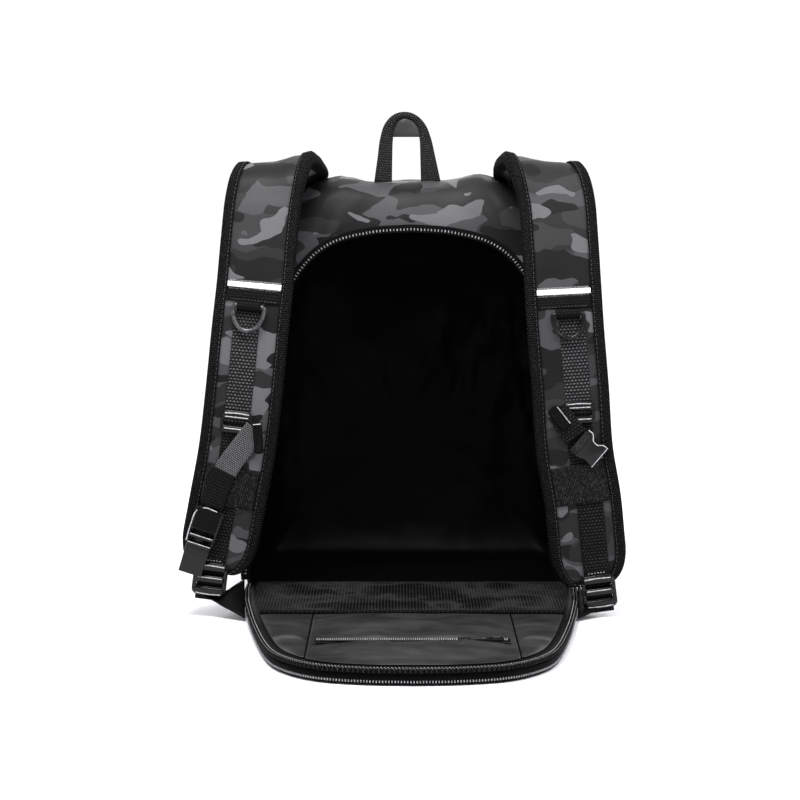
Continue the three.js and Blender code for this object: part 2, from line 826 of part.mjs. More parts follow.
// Webbing that rises and falls over what it threads. Each stop is a distance below a height, and a lift.
function threadedWebbing(side, stops, shift) {
  const heights = [...stops.map((stop) => stop.height), ...side.stations.map((frame) => frame.position.z)]
  const [top, bottom] = [stops[0].height, stops[stops.length - 1].height]
  const inRange = heights.filter((height) => height <= top && height >= bottom).sort((a, b) => b - a)
  const apart = inRange.filter((height, k) => k === 0 || inRange[k - 1] - height > seamGap)
  const frames = apart.map((height) => {
    const below = Math.max(1, stops.findIndex((stop) => stop.height <= height))
    const [a, b] = [stops[below - 1], stops[below]]
    const lift = a.lift + ((b.lift - a.lift) * (a.height - height)) / (a.height - b.height)
    const frame = frameAtPlace(side, placeAtHeight(side, height))
    frame.position.addScaledVector(frame.out, facing + lift)
    return frame
  })
  return sweep(frames, flatSection(webbingWidth, webbingThickness, 0, shift))
}

// A frame of rounded bars with slots one above the other.
function slottedFrame(width, height, thickness, rim, barWidth) {
  const shape = roundedRectangle(width, height, rim)
  const slotHeight = (height - 2 * rim - barWidth) / 2
  for (const side of [-1, 1]) {
    const hole = roundedRectangle(
      width - 2 * rim,
      slotHeight,
      slotCorner,
      new THREE.Path(),
      [0, (side * (barWidth + slotHeight)) / 2],
    )
    shape.holes.push(hole)
  }
  return extrude(shape, thickness, 2)
}

function addStrap(side) {
  side.path = strapCurve(side)
  side.stations = strapStations(side)
  const name = side.name
  add(`strap_pad_${name}`, strapSweep(side, padSection), cloth)
  add(`strap_binding_inner_${name}`, strapSweep(side, (inset) => bindingSection(-1, inset)), webbing)
  add(`strap_binding_outer_${name}`, strapSweep(side, (inset) => bindingSection(1, inset)), webbing)

  const strip = side.strip * strapHeight
  const stripLow = strip - stripHeight
  const bandTop = stripLow - seamGap
  const keeperOuter = ringWire / 2 + ringClearance + keeperWall
  side.ring = bandTop - crossBandHeight - side.keeperGap - keeperOuter
  add(
    `reflective_strip_${name}`,
    strapRibbon(side, strip, stripLow, bandWidth, seamGap, stripThickness),
    reflective,
  )
  add(
    `cross_band_${name}`,
    strapRibbon(side, bandTop, bandTop - crossBandHeight, bandWidth, seamGap, crossBandThickness),
    webbing,
  )
  addRing(side)
  addWebbing(side)
  addSternumStrap(side)
  addAnchor(side)
}

// The ring hangs by its straight bar in a webbing keeper.
function addRing(side) {
  const frame = frameAtHeight(side, side.ring)
  const axis = onFace(frame, side.ringShift * webbingWidth, 0, ringLift)
  const [a, depth] = [(ringWidth - ringWire) / 2, ringHeight - ringWire]
  const corner = ringCorner
  const path = [[-a + corner, 0], [0, 0], [a - corner, 0]]
  const cut = ringCornerCut * corner
  path.push([a - cut, cut], [a, corner])
  for (let k = 1; k < ringArcSteps; k++) {
    const angle = (Math.PI * k) / ringArcSteps
    path.push([a * Math.cos(angle), corner + (depth - corner) * Math.sin(angle)])
  }
  path.push([-a, corner], [-a + cut, cut])
  const section = roundSection(ringWire / 2, 8)
  const rings = path.map(([u, v], k) => {
    const [before, after] = [path[(k + path.length - 1) % path.length], path[(k + 1) % path.length]]
    const tangent = new THREE.Vector2(after[0] - before[0], after[1] - before[1]).normalize()
    const normal = frame.across.clone().multiplyScalar(-tangent.y).addScaledVector(frame.along, tangent.x)
    const centre = axis.clone().addScaledVector(frame.across, u).addScaledVector(frame.along, v)
    return section.map(([p, q]) => centre.clone().addScaledVector(normal, p).addScaledVector(frame.out, q))
  })
  add(`d_ring_${side.name}`, loft(rings, { loop: true }), metal)

  const hole = ringWire / 2 + ringClearance
  const outer = hole + keeperWall
  const shape = new THREE.Shape()
  shape.moveTo(-outer, seamGap - ringLift)
  shape.lineTo(outer, seamGap - ringLift)
  shape.lineTo(outer, 0)
  shape.absarc(0, 0, outer, 0, Math.PI)
  shape.holes.push(new THREE.Path().absarc(0, 0, hole, 0, 2 * Math.PI))
  add(`ring_keeper_${side.name}`, place(
    extrude(shape, keeperWidth),
    axis.clone().addScaledVector(frame.across, -keeperWidth / 2),
    frame.along,
    frame.out,
    frame.across,
  ), webbing)
}

// Webbing runs down the strap from the ring, threads the glide and goes under the elastic to the lock.
function addWebbing(side) {
  const top = side.ring - ringWire / 2 - ringClearance - keeperWall - 2 * seamGap
  const shift = side.webbingShift * webbingWidth
  const glide = side.glide * strapHeight
  const lock = side.lock * strapHeight
  const under = seamGap + webbingThickness + seamGap
  const over = under + glideThickness + seamGap
  const slot = (glideHeight - glideBar) / 2 - glideRim
  const far = glideBar / 2 + slot - slotRoom
  const near = glideBar / 2 + threadRoom
  const stops = [
    { height: top, lift: seamGap },
    { height: (top + glide) / 2, lift: seamGap },
    { height: glide + far, lift: seamGap },
    { height: glide + near, lift: over },
    { height: glide - near, lift: over },
    { height: glide - far, lift: seamGap },
    { height: side.elastic * strapHeight, lift: seamGap },
    { height: (side.elastic * strapHeight + lock) / 2, lift: seamGap },
    { height: lock + lockHeight / 2 - lockRim, lift: seamGap },
  ]
  add(`chest_webbing_${side.name}`, threadedWebbing(side, stops, shift), webbing)

  const glideFrame = frameAtHeight(side, glide)
  add(`sternum_slider_${side.name}`, place(
    slottedFrame(glideWidth, glideHeight, glideThickness, glideRim, glideBar),
    onFace(glideFrame, shift, 0, under),
    glideFrame.across,
    glideFrame.along,
    glideFrame.out,
  ), plastic)

  const elastic = side.elastic * strapHeight
  add(`elastic_band_${side.name}`, strapRibbon(
    side,
    elastic + elasticHeight / 2,
    elastic - elasticHeight / 2,
    bandWidth,
    under,
    elasticThickness,
  ), webbing)
}

// Places along a buckle half as shares of its length: where its shoulders end, its neck and its mouth, with
// the reach of the curves between. mouth is the half width there as a share of the shoulders'.
const buckleShares = {
  shoulder: 0.3,
  shoulderPull: 0.5,
  neckPull: 0.4,
  neck: 0.6,
  mouthPull: 0.75,
  mouthBend: 0.8,
  mouth: 0.75,
}

// The chest strap's half: webbing that hangs in front of the glide, and its buckle half.
function addSternumStrap(side) {
  const glideFrame = frameAtHeight(side, side.glide * strapHeight)
  const origin = onFace(glideFrame, side.webbingShift * webbingWidth, 0, 0)
  const outwards = new THREE.Vector3(side.sign, 0, 0)
  const down = new THREE.Vector3(0, 0, -1)
  const front = new THREE.Vector3(0, -1, 0)
  const at = (out, drop, lift) => origin.clone()
    .addScaledVector(outwards, out * webbingWidth)
    .addScaledVector(down, drop * webbingWidth)
    .addScaledVector(front, lift * webbingWidth)
  const points = side.sternum.map((stop) => at(stop.out, stop.down, stop.lift))
  const frames = points.map((position, k) => {
    const next = points[Math.min(points.length - 1, k + 1)]
    const along = next.clone().sub(points[Math.max(0, k - 1)]).normalize()
    return { position, across: along.cross(front).normalize(), out: front }
  })
  add(`sternum_webbing_${side.name}`, sweep(frames, flatSection(sternumWidth, webbingThickness)), webbing)

  const { out, down: drop, lift, toOut, toDown, width, waist } = side.buckle
  const start = at(out, drop, lift)
  const length = Math.hypot(toOut - out, toDown - drop) * webbingWidth
  const along = at(toOut, toDown, lift).sub(start).normalize()
  const w = (width * webbingWidth) / 2
  const spot = (across, far) => [across * w, far * length]
  const { shoulder, shoulderPull, neckPull, neck, mouthPull, mouthBend, mouth } = buckleShares
  const shape = new THREE.Shape()
  shape.moveTo(-w, 0)
  shape.lineTo(w, 0)
  shape.lineTo(...spot(1, shoulder))
  shape.bezierCurveTo(...spot(1, shoulderPull), ...spot(waist, neckPull), ...spot(waist, neck))
  shape.bezierCurveTo(...spot(waist, mouthPull), ...spot(mouth, mouthBend), ...spot(mouth, 1))
  shape.lineTo(...spot(-mouth, 1))
  shape.bezierCurveTo(...spot(-mouth, mouthBend), ...spot(-waist, mouthPull), ...spot(-waist, neck))
  shape.bezierCurveTo(...spot(-waist, neckPull), ...spot(-1, shoulderPull), ...spot(-1, shoulder))
  add(`sternum_buckle_${side.name}`, place(
    extrude(shape, buckleThickness),
    start,
    along.clone().cross(front),
    along,
    front,
  ), plastic)
}

// The lower adjuster: a ladder lock at the strap's end, the webbing it holds and the cloth wing that joins
// that webbing to the folded panel's side.
function addAnchor(side) {
  const frame = frameAtHeight(side, side.lock * strapHeight)
  const shift = side.webbingShift * webbingWidth
  const under = seamGap + webbingThickness + seamGap
  add(`ladder_lock_${side.name}`, place(
    slottedFrame(lockWidth, lockHeight, lockThickness, lockRim, lockBar),
    onFace(frame, shift, 0, under),
    frame.across,
    frame.along,
    frame.out,
  ), plastic)

  const over = under + lockThickness + seamGap
  const near = lockBar / 2 + threadRoom
  const far = lockHeight / 2 - lockRim - slotRoom
  const route = [[-far, seamGap], [-near, over], [near, over], [far, seamGap], [adjusterLength, seamGap]]
  const frames = route.map(([along, out]) => ({
    position: onFace(frame, shift, along, out),
    across: frame.across,
    out: frame.out,
  }))
  add(`adjuster_webbing_${side.name}`, sweep(frames, flatSection(webbingWidth, webbingThickness)), webbing)

  const edge = (reach) => {
    const half = openingCurve.getPointAt(heightShare(openingCurve, reach)).x
    const x = side.sign * (half + 2 * seamGap)
    return new THREE.Vector3(x, openingY - hingeGap - reach, zipperTapeWidth / 2)
  }
  const tipAt = (across) => onFace(frame, shift + across, adjusterLength - wingLap, -wingSink)
  const [rearEdge, frontEdge] = [edge(wingFrom), edge(wingTo)]
  const [rearTip, frontTip] = [tipAt(webbingWidth / 2), tipAt(-webbingWidth / 2)]
  const behind = frame.out.clone().multiplyScalar(-wingThickness)
  const rise = up.clone().multiplyScalar(wingThickness)
  const rings = Array.from({ length: wingSteps + 1 }, (_, k) => {
    const share = k / wingSteps
    const rear = rearEdge.clone().lerp(rearTip, share)
    const fore = frontEdge.clone().lerp(frontTip, share)
    const thick = rise.clone().lerp(behind, share).setLength(wingThickness)
    return [rear, fore, fore.clone().add(thick), rear.clone().add(thick)]
  })
  const square = [[0, 0], [1, 0], [1, 1], [0, 1]].map(([a, b]) => new THREE.Vector2(a, b))
  add(`anchor_wing_${side.name}`, loft(rings, { plan: square }), cloth)
}

for (const side of sides) addStrap(side)

export default bag
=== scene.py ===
# A motorcycle helmet backpack that stands open, with its zipped back panel folded down in front of it.
# Metres, +Z up. The open side faces -Y, and left is -X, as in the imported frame.
import math

import bpy
import numpy as np
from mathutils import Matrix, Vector


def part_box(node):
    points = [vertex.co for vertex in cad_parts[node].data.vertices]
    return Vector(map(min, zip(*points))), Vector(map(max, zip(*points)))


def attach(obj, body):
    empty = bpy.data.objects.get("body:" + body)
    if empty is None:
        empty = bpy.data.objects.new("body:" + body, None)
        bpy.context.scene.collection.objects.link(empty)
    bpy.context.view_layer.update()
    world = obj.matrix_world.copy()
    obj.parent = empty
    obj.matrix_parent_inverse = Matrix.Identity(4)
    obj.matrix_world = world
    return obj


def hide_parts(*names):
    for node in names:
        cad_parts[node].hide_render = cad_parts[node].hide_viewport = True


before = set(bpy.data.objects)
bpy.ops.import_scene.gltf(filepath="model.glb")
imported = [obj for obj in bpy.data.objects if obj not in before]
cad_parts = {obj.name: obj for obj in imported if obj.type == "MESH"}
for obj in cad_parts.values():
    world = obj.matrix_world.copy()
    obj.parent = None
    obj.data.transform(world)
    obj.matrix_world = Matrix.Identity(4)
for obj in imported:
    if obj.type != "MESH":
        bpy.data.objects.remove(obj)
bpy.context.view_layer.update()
MM = 0.001
RIGHT = np.array([1.0, 0.0, 0.0])
AWAY = np.array([0.0, 1.0, 0.0])
UP = np.array([0.0, 0.0, 1.0])
FRONT = -AWAY


def node_box(node):
    """The low and high corners of a node's box in the frame."""
    return (np.array(corner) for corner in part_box(node))


# Camera of the photograph
CAMERA_AT = (-0.011, -2.099, 0.409)
CAMERA_AIM = (-0.011, -0.11, 0.2)
LENS_MM = 90
SENSOR_MM = 36

# Body, opening and folded panel
panel_low, panel_high = node_box("flap_panel")
BODY_WIDTH = 0.34
BODY_HEIGHT = 0.416
BODY_DEPTH = 0.22
OPENING_WIDTH = 0.334
OPENING_HEIGHT = 0.369
OPENING_Y = -BODY_DEPTH / 2
HINGE_Y = panel_high[1]
FLAP_THICKNESS = panel_high[2] - panel_low[2]
CORNER_SHARE = 0.055
CLOTH_WALL = 0.003
PIPING = 0.002
POCKET_MARGIN = 2 * PIPING + 0.0075
POCKET_FROM = 0.1565
POCKET_MOUTH = 0.156
POCKET_ZIP = 0.28
POCKET_LIFT = 0.0012
POCKET_CLOTH = 0.0007
PATCH_ROWS = 90
PATCH_COLUMNS = 80
PANEL_TOP = 0.015
LINING_GAP = 0.0004

# Shoulder straps and what they carry
STRAP_WIDTH = 0.074
STRAP_THICKNESS = 0.01
STRAP_HEIGHT = 0.439
STRAP_STANDOFF = 0.092
FACING = STRAP_THICKNESS / 2
BINDING_TAPE = 0.0022
PAD_HALF = STRAP_WIDTH / 2 - BINDING_TAPE
BINDING_REACH = 0.011
BINDING_LIFT = 0.0021
ROOT_CLEARANCE = 0.001
BAND_WIDTH = STRAP_WIDTH - 2 * BINDING_REACH - 0.0006
ELASTIC_HEIGHT = 0.0375
SEAM_INSET = 0.0018
SEAM_LIFT = 0.0024
END_RADIUS = 0.036
END_WIDTH = 0.036
WEBBING_WIDTH = 0.025
WEBBING_THICKNESS = 0.0015
RING_WIDTH = 0.034
RING_DEPTH = 0.028
RING_WIRE = 0.0042
RING_CORNER = 0.003
RING_LIFT = 0.0065
KEEPER_TURN = 0.0036
BUCKLE_THICKNESS = 0.006
BEVEL_STEPS = 3
SAME_POINT = 1e-6
SHARP_DEGREES = 50

# Zip teeth as pitch, then size along, across and out
BODY_TEETH = (0.0034, (0.0012, 0.0024, 0.0011))
FLAP_TEETH = (0.0026, (0.0011, 0.0020, 0.0010))
POCKET_TEETH = (0.0019, (0.0011, 0.0042, 0.0012))
TOOTH_TAPER = 0.7

# Stitches as length, pitch and thickness
PIPING_STITCH = (0.0016, 0.0030, 0.0006)
LOOP_STITCH = (0.0017, 0.0026, 0.0007)
STRAP_STITCH = (0.0026, 0.0042, 0.0005)
BAND_STITCH = (0.0022, 0.0032, 0.0006)
LOCK_STITCH = (0.0017, 0.0029, 0.0007)


# Smooth curves and noise

def catmull(points, per_span, alpha):
    """Points along a Catmull-Rom curve, and their places counted in given points."""
    points = np.asarray(points, float)
    ends = np.vstack([2 * points[0] - points[1], points, 2 * points[-1] - points[-2]])
    out, places = [], []
    for k in range(1, len(ends) - 2):
        p = ends[k - 1:k + 3]
        gaps = np.maximum(np.linalg.norm(np.diff(p, axis=0), axis=1) ** alpha, 1e-9)
        t = np.concatenate([[0], np.cumsum(gaps)])
        for step in np.linspace(0, 1, per_span, endpoint=False):
            x = t[1] + (t[2] - t[1]) * step
            a = [p[i] + (p[i + 1] - p[i]) * (x - t[i]) / (t[i + 1] - t[i]) for i in range(3)]
            b = [a[i] + (a[i + 1] - a[i]) * (x - t[i]) / (t[i + 2] - t[i]) for i in range(2)]
            out.append(b[0] + (b[1] - b[0]) * (x - t[1]) / (t[2] - t[1]))
            places.append(k - 1 + step)
    out.append(points[-1])
    places.append(len(points) - 1)
    return np.array(out), np.array(places)


def lengths_along(points):
    steps = np.linalg.norm(np.diff(points, axis=0), axis=1)
    return np.concatenate([[0], np.cumsum(steps)])


def sample(points, keys, values):
    """The rows of points at given values of a rising key."""
    return np.stack([np.interp(values, keys, points[:, k]) for k in range(points.shape[1])], axis=-1)


def unit(vectors):
    return vectors / np.maximum(np.linalg.norm(vectors, axis=-1, keepdims=True), 1e-12)


def lattice(cells, seed):
    mixed = cells[..., 0] * 374761393 + cells[..., 1] * 668265263 + cells[..., 2] * 2147483647
    mixed = mixed + seed * 974711
    mixed = (mixed ^ (mixed >> 13)) * 1274126177
    return ((mixed ^ (mixed >> 16)) & 0xFFFF) / 0xFFFF * 2 - 1


def noise(points, size, seed):
    """Smooth noise from -1 to 1, with features of about the given size."""
    scaled = np.asarray(points) / size
    base = np.floor(scaled).astype(np.int64)
    part = scaled - base
    part = part * part * (3 - 2 * part)
    total = 0
    for corner in np.ndindex(2, 2, 2):
        weight = np.prod(np.where(np.array(corner) == 1, part, 1 - part), axis=-1)
        total = total + weight * lattice(base + np.array(corner), seed)
    return total


def layered(points, *layers):
    """Noises of (size, seed, height), laid over each other."""
    return sum(noise(points, size, seed) * height for size, seed, height in layers)


# Meshes

def new_object(name, verts, faces, uv, material, smooth=True):
    mesh = bpy.data.meshes.new(name)
    mesh.from_pydata([tuple(v) for v in np.asarray(verts, float)], [], [list(map(int, f)) for f in faces])
    if uv is not None:
        layer = mesh.uv_layers.new(name="UVMap")
        corners = np.empty(len(mesh.loops), int)
        mesh.loops.foreach_get("vertex_index", corners)
        layer.data.foreach_set("uv", np.asarray(uv, float)[corners].ravel())
    if smooth:
        mesh.polygons.foreach_set("use_smooth", np.ones(len(mesh.polygons), bool))
    mesh.validate()
    mesh.materials.append(material)
    return linked(name, mesh)


def linked(name, data):
    made = bpy.data.objects.new(name, data)
    bpy.context.scene.collection.objects.link(made)
    return made


def select_only(*pieces):
    bpy.ops.object.select_all(action="DESELECT")
    for piece in pieces:
        piece.select_set(True)
    bpy.context.view_layer.objects.active = pieces[0]


def settle(piece, slot, *nodes, body="bag"):
    """Turns a piece's faces out, rides it on its body and hides what it stands for; the slot is not used."""
    select_only(piece)
    bpy.ops.object.mode_set(mode="EDIT")
    bpy.ops.mesh.select_all(action="SELECT")
    bpy.ops.mesh.normals_make_consistent(inside=False)
    bpy.ops.object.mode_set(mode="OBJECT")
    bpy.ops.object.select_all(action="DESELECT")
    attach(piece, body)
    if nodes:
        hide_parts(*nodes)
    return piece


def grid_faces(rows, columns, closed):
    faces = []
    for i in range(rows - 1):
        for j in range(columns if closed else columns - 1):
            k = (j + 1) % columns
            faces.append((i * columns + j, i * columns + k, (i + 1) * columns + k, (i + 1) * columns + j))
    return faces


def closed_loft(name, rings, material, poles=None, uv=None):
    """A closed body through rings of points, ended by poles or by flat faces."""
    rings = np.asarray(rings)
    rows, columns = rings.shape[:2]
    verts = rings.reshape(-1, 3)
    faces = grid_faces(rows, columns, True)
    last = (rows - 1) * columns
    if poles is None:
        faces += [tuple(range(columns))[::-1], tuple(range(last, last + columns))]
    else:
        verts = np.vstack([verts, poles])
        first_pole, last_pole = len(verts) - 2, len(verts) - 1
        for j in range(columns):
            k = (j + 1) % columns
            faces += [(first_pole, k, j), (last_pole, last + j, last + k)]
    return new_object(name, verts, faces, uv, material)


def frames_of(position, out):
    """Sweep frames along points, all facing one way."""
    outs = np.broadcast_to(np.asarray(out, float), position.shape)
    return position, unit(np.cross(unit(np.gradient(position, axis=0)), outs)), outs


def sweep(name, frames, section, material):
    """A section of (across, out) pairs, one for all frames or one for each, swept through frames."""
    position = frames[0]
    across, out = (np.broadcast_to(axis, position.shape) for axis in frames[1:])
    section = np.asarray(section, float)
    if section.ndim == 2:
        section = np.repeat(section[None], len(position), axis=0)
    rings = position[:, None] + section[..., :1] * across[:, None] + section[..., 1:] * out[:, None]
    along = lengths_along(position)
    uv = np.stack([section[..., 0], np.repeat(along[:, None], section.shape[1], axis=1)], axis=-1)
    return closed_loft(name, rings, material, uv=uv.reshape(-1, 2))


def rounded_outline(width, height, radius, middle=(0.0, 0.0), steps=5):
    points = []
    for x, y, start in ((1, -1, -90), (1, 1, 0), (-1, 1, 90), (-1, -1, 180)):
        for k in range(steps + 1):
            angle = math.radians(start + 90 * k / steps)
            points.append((
                middle[0] + x * (width / 2 - radius) + radius * math.cos(angle),
                middle[1] + y * (height / 2 - radius) + radius * math.sin(angle),
            ))
    return points


def rounded_section(width, thickness, corner, lift=0.0):
    """A rounded rectangle in (across, out), its back at lift."""
    return np.array(rounded_outline(width, thickness, corner, (0.0, lift + thickness / 2), 4))


def ribbon_section(width, thickness, lift=0.0, shift=0.0, columns=8):
    """A webbing's section with enough points across for its weave to lie smoothly."""
    across = np.linspace(-width / 2, width / 2, columns + 1) + shift
    inset = across.copy()
    inset[0] += 0.3 * thickness
    inset[-1] -= 0.3 * thickness
    back = [(x, lift) for x in inset]
    front = [(x, lift + thickness) for x in inset[::-1]]
    middle = lift + thickness / 2
    return np.array(back + [(across[-1], middle)] + front + [(across[0], middle)])


def round_section(radius, sides):
    angles = np.linspace(0, 2 * math.pi, sides, endpoint=False)
    return np.stack([radius * np.cos(angles), radius * np.sin(angles)], axis=-1)


def block_row(name, centres, axes, size, material):
    """Many small tapered blocks in one mesh, such as stitches or the teeth of a zip."""
    corners = np.array([(x, y, z) for z in (-1, 1) for y in (-1, 1) for x in (-1, 1)], float) / 2
    corners[4:, :2] *= TOOTH_TAPER
    corners *= np.array(size)
    verts = centres[:, None]
    for k, axis in enumerate(axes):
        verts = verts + corners[None, :, k:k + 1] * np.broadcast_to(axis, centres.shape)[:, None]
    sides = np.array([(0, 2, 3, 1), (4, 5, 7, 6), (0, 1, 5, 4), (2, 6, 7, 3), (0, 4, 6, 2), (1, 3, 7, 5)])
    faces = (np.arange(len(centres))[:, None, None] * 8 + sides[None]).reshape(-1, 4)
    return new_object(name, verts.reshape(-1, 3), faces, None, material, smooth=False)


def rows_along(points, pitch, sides):
    """Even places along a line, with the directions there and what another array holds there."""
    lengths = lengths_along(points)
    places = np.arange(pitch, lengths[-1] - pitch, pitch)
    centres = sample(points, lengths, places)
    along = unit(sample(points, lengths, places + pitch / 4) - centres)
    return centres, along, sample(np.broadcast_to(sides, points.shape), lengths, places)


def stitches(name, points, out, stitch, material, slot):
    length, pitch, thickness = stitch
    centres, along, outs = rows_along(points, pitch, unit(np.broadcast_to(out, points.shape)))
    axes = (along, unit(np.cross(along, outs)), outs)
    settle(block_row(name, centres, axes, (length, thickness, thickness), material), slot)


def shape_plate(name, outline, thickness, place, material, bevel, holes=()):
    """An outline in x and y, with holes, made a plate with rounded edges and put in place."""
    curve = bpy.data.curves.new(name, "CURVE")
    curve.dimensions = "2D"
    curve.fill_mode = "BOTH"
    curve.extrude = thickness / 2 - bevel
    curve.bevel_depth = bevel
    curve.bevel_resolution = BEVEL_STEPS
    curve.offset = -bevel
    for points in (outline, *holes):
        spline = curve.splines.new("POLY")
        spline.points.add(len(points) - 1)
        for point, (x, y) in zip(spline.points, points):
            point.co = (x, y, 0, 1)
        spline.use_cyclic_u = True
    drawn = linked(name + "_curve", curve)
    bpy.context.view_layer.update()
    mesh = bpy.data.meshes.new_from_object(drawn.evaluated_get(bpy.context.evaluated_depsgraph_get()))
    bpy.data.objects.remove(drawn)
    origin, x_axis, y_axis, z_axis = place
    flat = np.array([v.co[:] for v in mesh.vertices])
    placed = origin + flat[:, :1] * x_axis + flat[:, 1:2] * y_axis + (flat[:, 2:] + thickness / 2) * z_axis
    mesh.vertices.foreach_set("co", placed.ravel())
    mesh.polygons.foreach_set("use_smooth", np.ones(len(mesh.polygons), bool))
    mesh.materials.clear()
    mesh.materials.append(material)
    made = linked(name, mesh)
    made.modifiers.new("weld", "WELD").merge_threshold = SAME_POINT
    made.modifiers.new("edges", "EDGE_SPLIT").split_angle = math.radians(SHARP_DEGREES)
    return made


def lifted(place, lift):
    """A place of (origin, x, y, z), moved along its z."""
    origin, *axes = place
    return origin + axes[2] * lift, *axes


def fold_block(name, place, size, material):
    """A short folded end of webbing about a centre, rounded on all sides."""
    width, length, thick = size
    outline = rounded_outline(width, length, min(width, length) * 0.3)
    return shape_plate(name, outline, thick, lifted(place, -thick / 2), material, thick * 0.45)


def glint_wire(name, points, place, lift, radius=0.0005):
    """A fine pale wire on a flat piece, through points in its plane: a painted highlight along an edge."""
    origin, x_axis, y_axis, z_axis = place
    path, _ = catmull(points, 8, 0.5)
    position = origin + path[:, :1] * x_axis + path[:, 1:] * y_axis + z_axis * lift
    return sweep(name, frames_of(position, z_axis), round_section(radius, 8), PAINTED_GLINT)


def join(name, pieces):
    select_only(*pieces)
    bpy.ops.object.join()
    joined = bpy.context.view_layer.objects.active
    joined.name = name
    joined.select_set(False)
    return joined


# Materials

class Nodes:
    """Builds and links the nodes of one tree."""

    def __init__(self, tree):
        self.tree = tree

    def node(self, kind, inputs, **settings):
        made = self.tree.nodes.new(kind)
        for key, value in settings.items():
            setattr(made, key, value)
        for key, value in (inputs.items() if isinstance(inputs, dict) else enumerate(inputs)):
            if isinstance(value, bpy.types.NodeSocket):
                self.tree.links.new(value, made.inputs[key])
            else:
                made.inputs[key].default_value = value
        return made

    def math(self, operation, *values):
        return self.node("ShaderNodeMath", values, operation=operation).outputs[0]


class Look(Nodes):
    """Builds a material's nodes."""

    def __init__(self, name, roughness, metallic=0.0):
        self.material = bpy.data.materials.new(name)
        self.material.use_nodes = True
        super().__init__(self.material.node_tree)
        self.shader = self.tree.nodes["Principled BSDF"]
        self.shader.inputs["Roughness"].default_value = roughness
        self.shader.inputs["Metallic"].default_value = metallic
        coords = self.node("ShaderNodeTexCoord", ())
        self.place = coords.outputs["Object"]
        self.cloth_place = coords.outputs["UV"]

    def object_noise(self, scale, detail, shift=(0, 0, 0), stretch=(1, 1, 1), warp=None):
        place = self.node("ShaderNodeMapping", {
            "Vector": warp or self.place,
            "Location": shift,
            "Scale": stretch,
        })
        return self.node("ShaderNodeTexNoise", {
            "Vector": place.outputs[0],
            "Scale": scale,
            "Detail": detail,
            "Roughness": 0.5,
        }).outputs["Fac"]

    def wave(self, socket, pitch):
        turned = self.math("MULTIPLY_ADD", socket, 2 * math.pi / pitch, 0.0)
        return self.math("MULTIPLY_ADD", self.math("SINE", turned), 0.5, 0.5)

    def across_and_along(self):
        return self.node("ShaderNodeSeparateXYZ", (self.cloth_place,)).outputs[:2]

    def ramp(self, factor, stops, interpolation="LINEAR"):
        made = self.node("ShaderNodeValToRGB", {"Fac": factor})
        made.color_ramp.interpolation = interpolation
        while len(made.color_ramp.elements) < len(stops):
            made.color_ramp.elements.new(0.5)
        for element, (place, tone) in zip(made.color_ramp.elements, stops):
            element.position = place
            element.color = (tone, tone, tone * 1.04, 1)
        return made.outputs["Color"]

    def mix(self, factor, a, b, mode="MIX"):
        made = self.node("ShaderNodeMix", {0: factor, 6: a, 7: b}, data_type="RGBA", blend_type=mode)
        return made.outputs[2]

    def finish(self, colour, height=None, strength=0.5, distance=0.0004, roughness=None, specular=0.15):
        self.tree.links.new(colour, self.shader.inputs["Base Color"])
        if height is not None:
            inputs = {"Height": height, "Strength": strength, "Distance": distance}
            bump = self.node("ShaderNodeBump", inputs)
            self.tree.links.new(bump.outputs[0], self.shader.inputs["Normal"])
        if roughness is not None:
            self.tree.links.new(roughness, self.shader.inputs["Roughness"])
        self.shader.inputs["Specular IOR Level"].default_value = specular
        return self.material


def camouflage():
    look = Look("camouflage cloth", 0.5)
    bend = look.node("ShaderNodeTexNoise", {"Vector": look.place, "Scale": 34.0, "Detail": 1.5})
    moved = bend.outputs["Color"]
    for operation, value in (
        ("SUBTRACT", (0.5, 0.5, 0.5)),
        ("MULTIPLY", (0.044, 0.034, 0.024)),
        ("ADD", look.place),
    ):
        moved = look.node("ShaderNodeVectorMath", (moved, value), operation=operation).outputs[0]
    flat = (0.85, 0.8, 2.3)
    middle = look.object_noise(17, 0.4, (0.3, 0, 0.1), flat, moved)
    tones = look.ramp(middle, [(0, 0.012), (0.5, 0.022)], "CONSTANT")
    # Light, black and pale patches, laid over each other
    for scale, detail, shift, share, tone in (
        (21, 0.4, (5.3, 1.4, 3.1), 0.55, (0.040, 0.040, 0.0425, 1)),
        (21, 0.3, (2.1, 0.4, 0.9), 0.57, (0.0045, 0.0045, 0.005, 1)),
        (27, 0.3, (9.1, 3.4, 1.7), 0.635, (0.085, 0.085, 0.089, 1)),
    ):
        patch = look.object_noise(scale, detail, shift, flat, moved)
        tones = look.mix(look.math("GREATER_THAN", patch, share), tones, tone)
    grain = look.object_noise(900, 1.0)
    tones = look.mix(0.3, tones, look.ramp(grain, [(0.3, 0.6), (0.7, 1.0)]), "MULTIPLY")
    return look.finish(tones, grain, 0.3, 0.0003, specular=0.12)


def woven(name, dark, light, pitch, specks=0.0, specular=0.05):
    """Webbing or tape whose threads cross, with light specks where they catch the light."""
    look = Look(name, 0.75)
    u, v = look.across_and_along()
    slope = look.math("MULTIPLY", v, 0.55)
    ways = (look.math("ADD", u, slope), look.math("SUBTRACT", u, slope))
    weave = look.math("MULTIPLY", *(look.wave(way, pitch) for way in ways))
    rows = look.wave(v, pitch * 0.9)
    grain = look.object_noise(650, 2.0)
    height = look.math("MULTIPLY_ADD", weave, 0.7, look.math("MULTIPLY", rows, 0.5))
    factor = look.math("MULTIPLY", height, look.math("ADD", grain, specks))
    tones = look.ramp(factor, [(0.1, dark), (0.5, (dark + light) / 3), (0.72, light)])
    return look.finish(tones, height, 0.8, 0.0004, specular=specular)


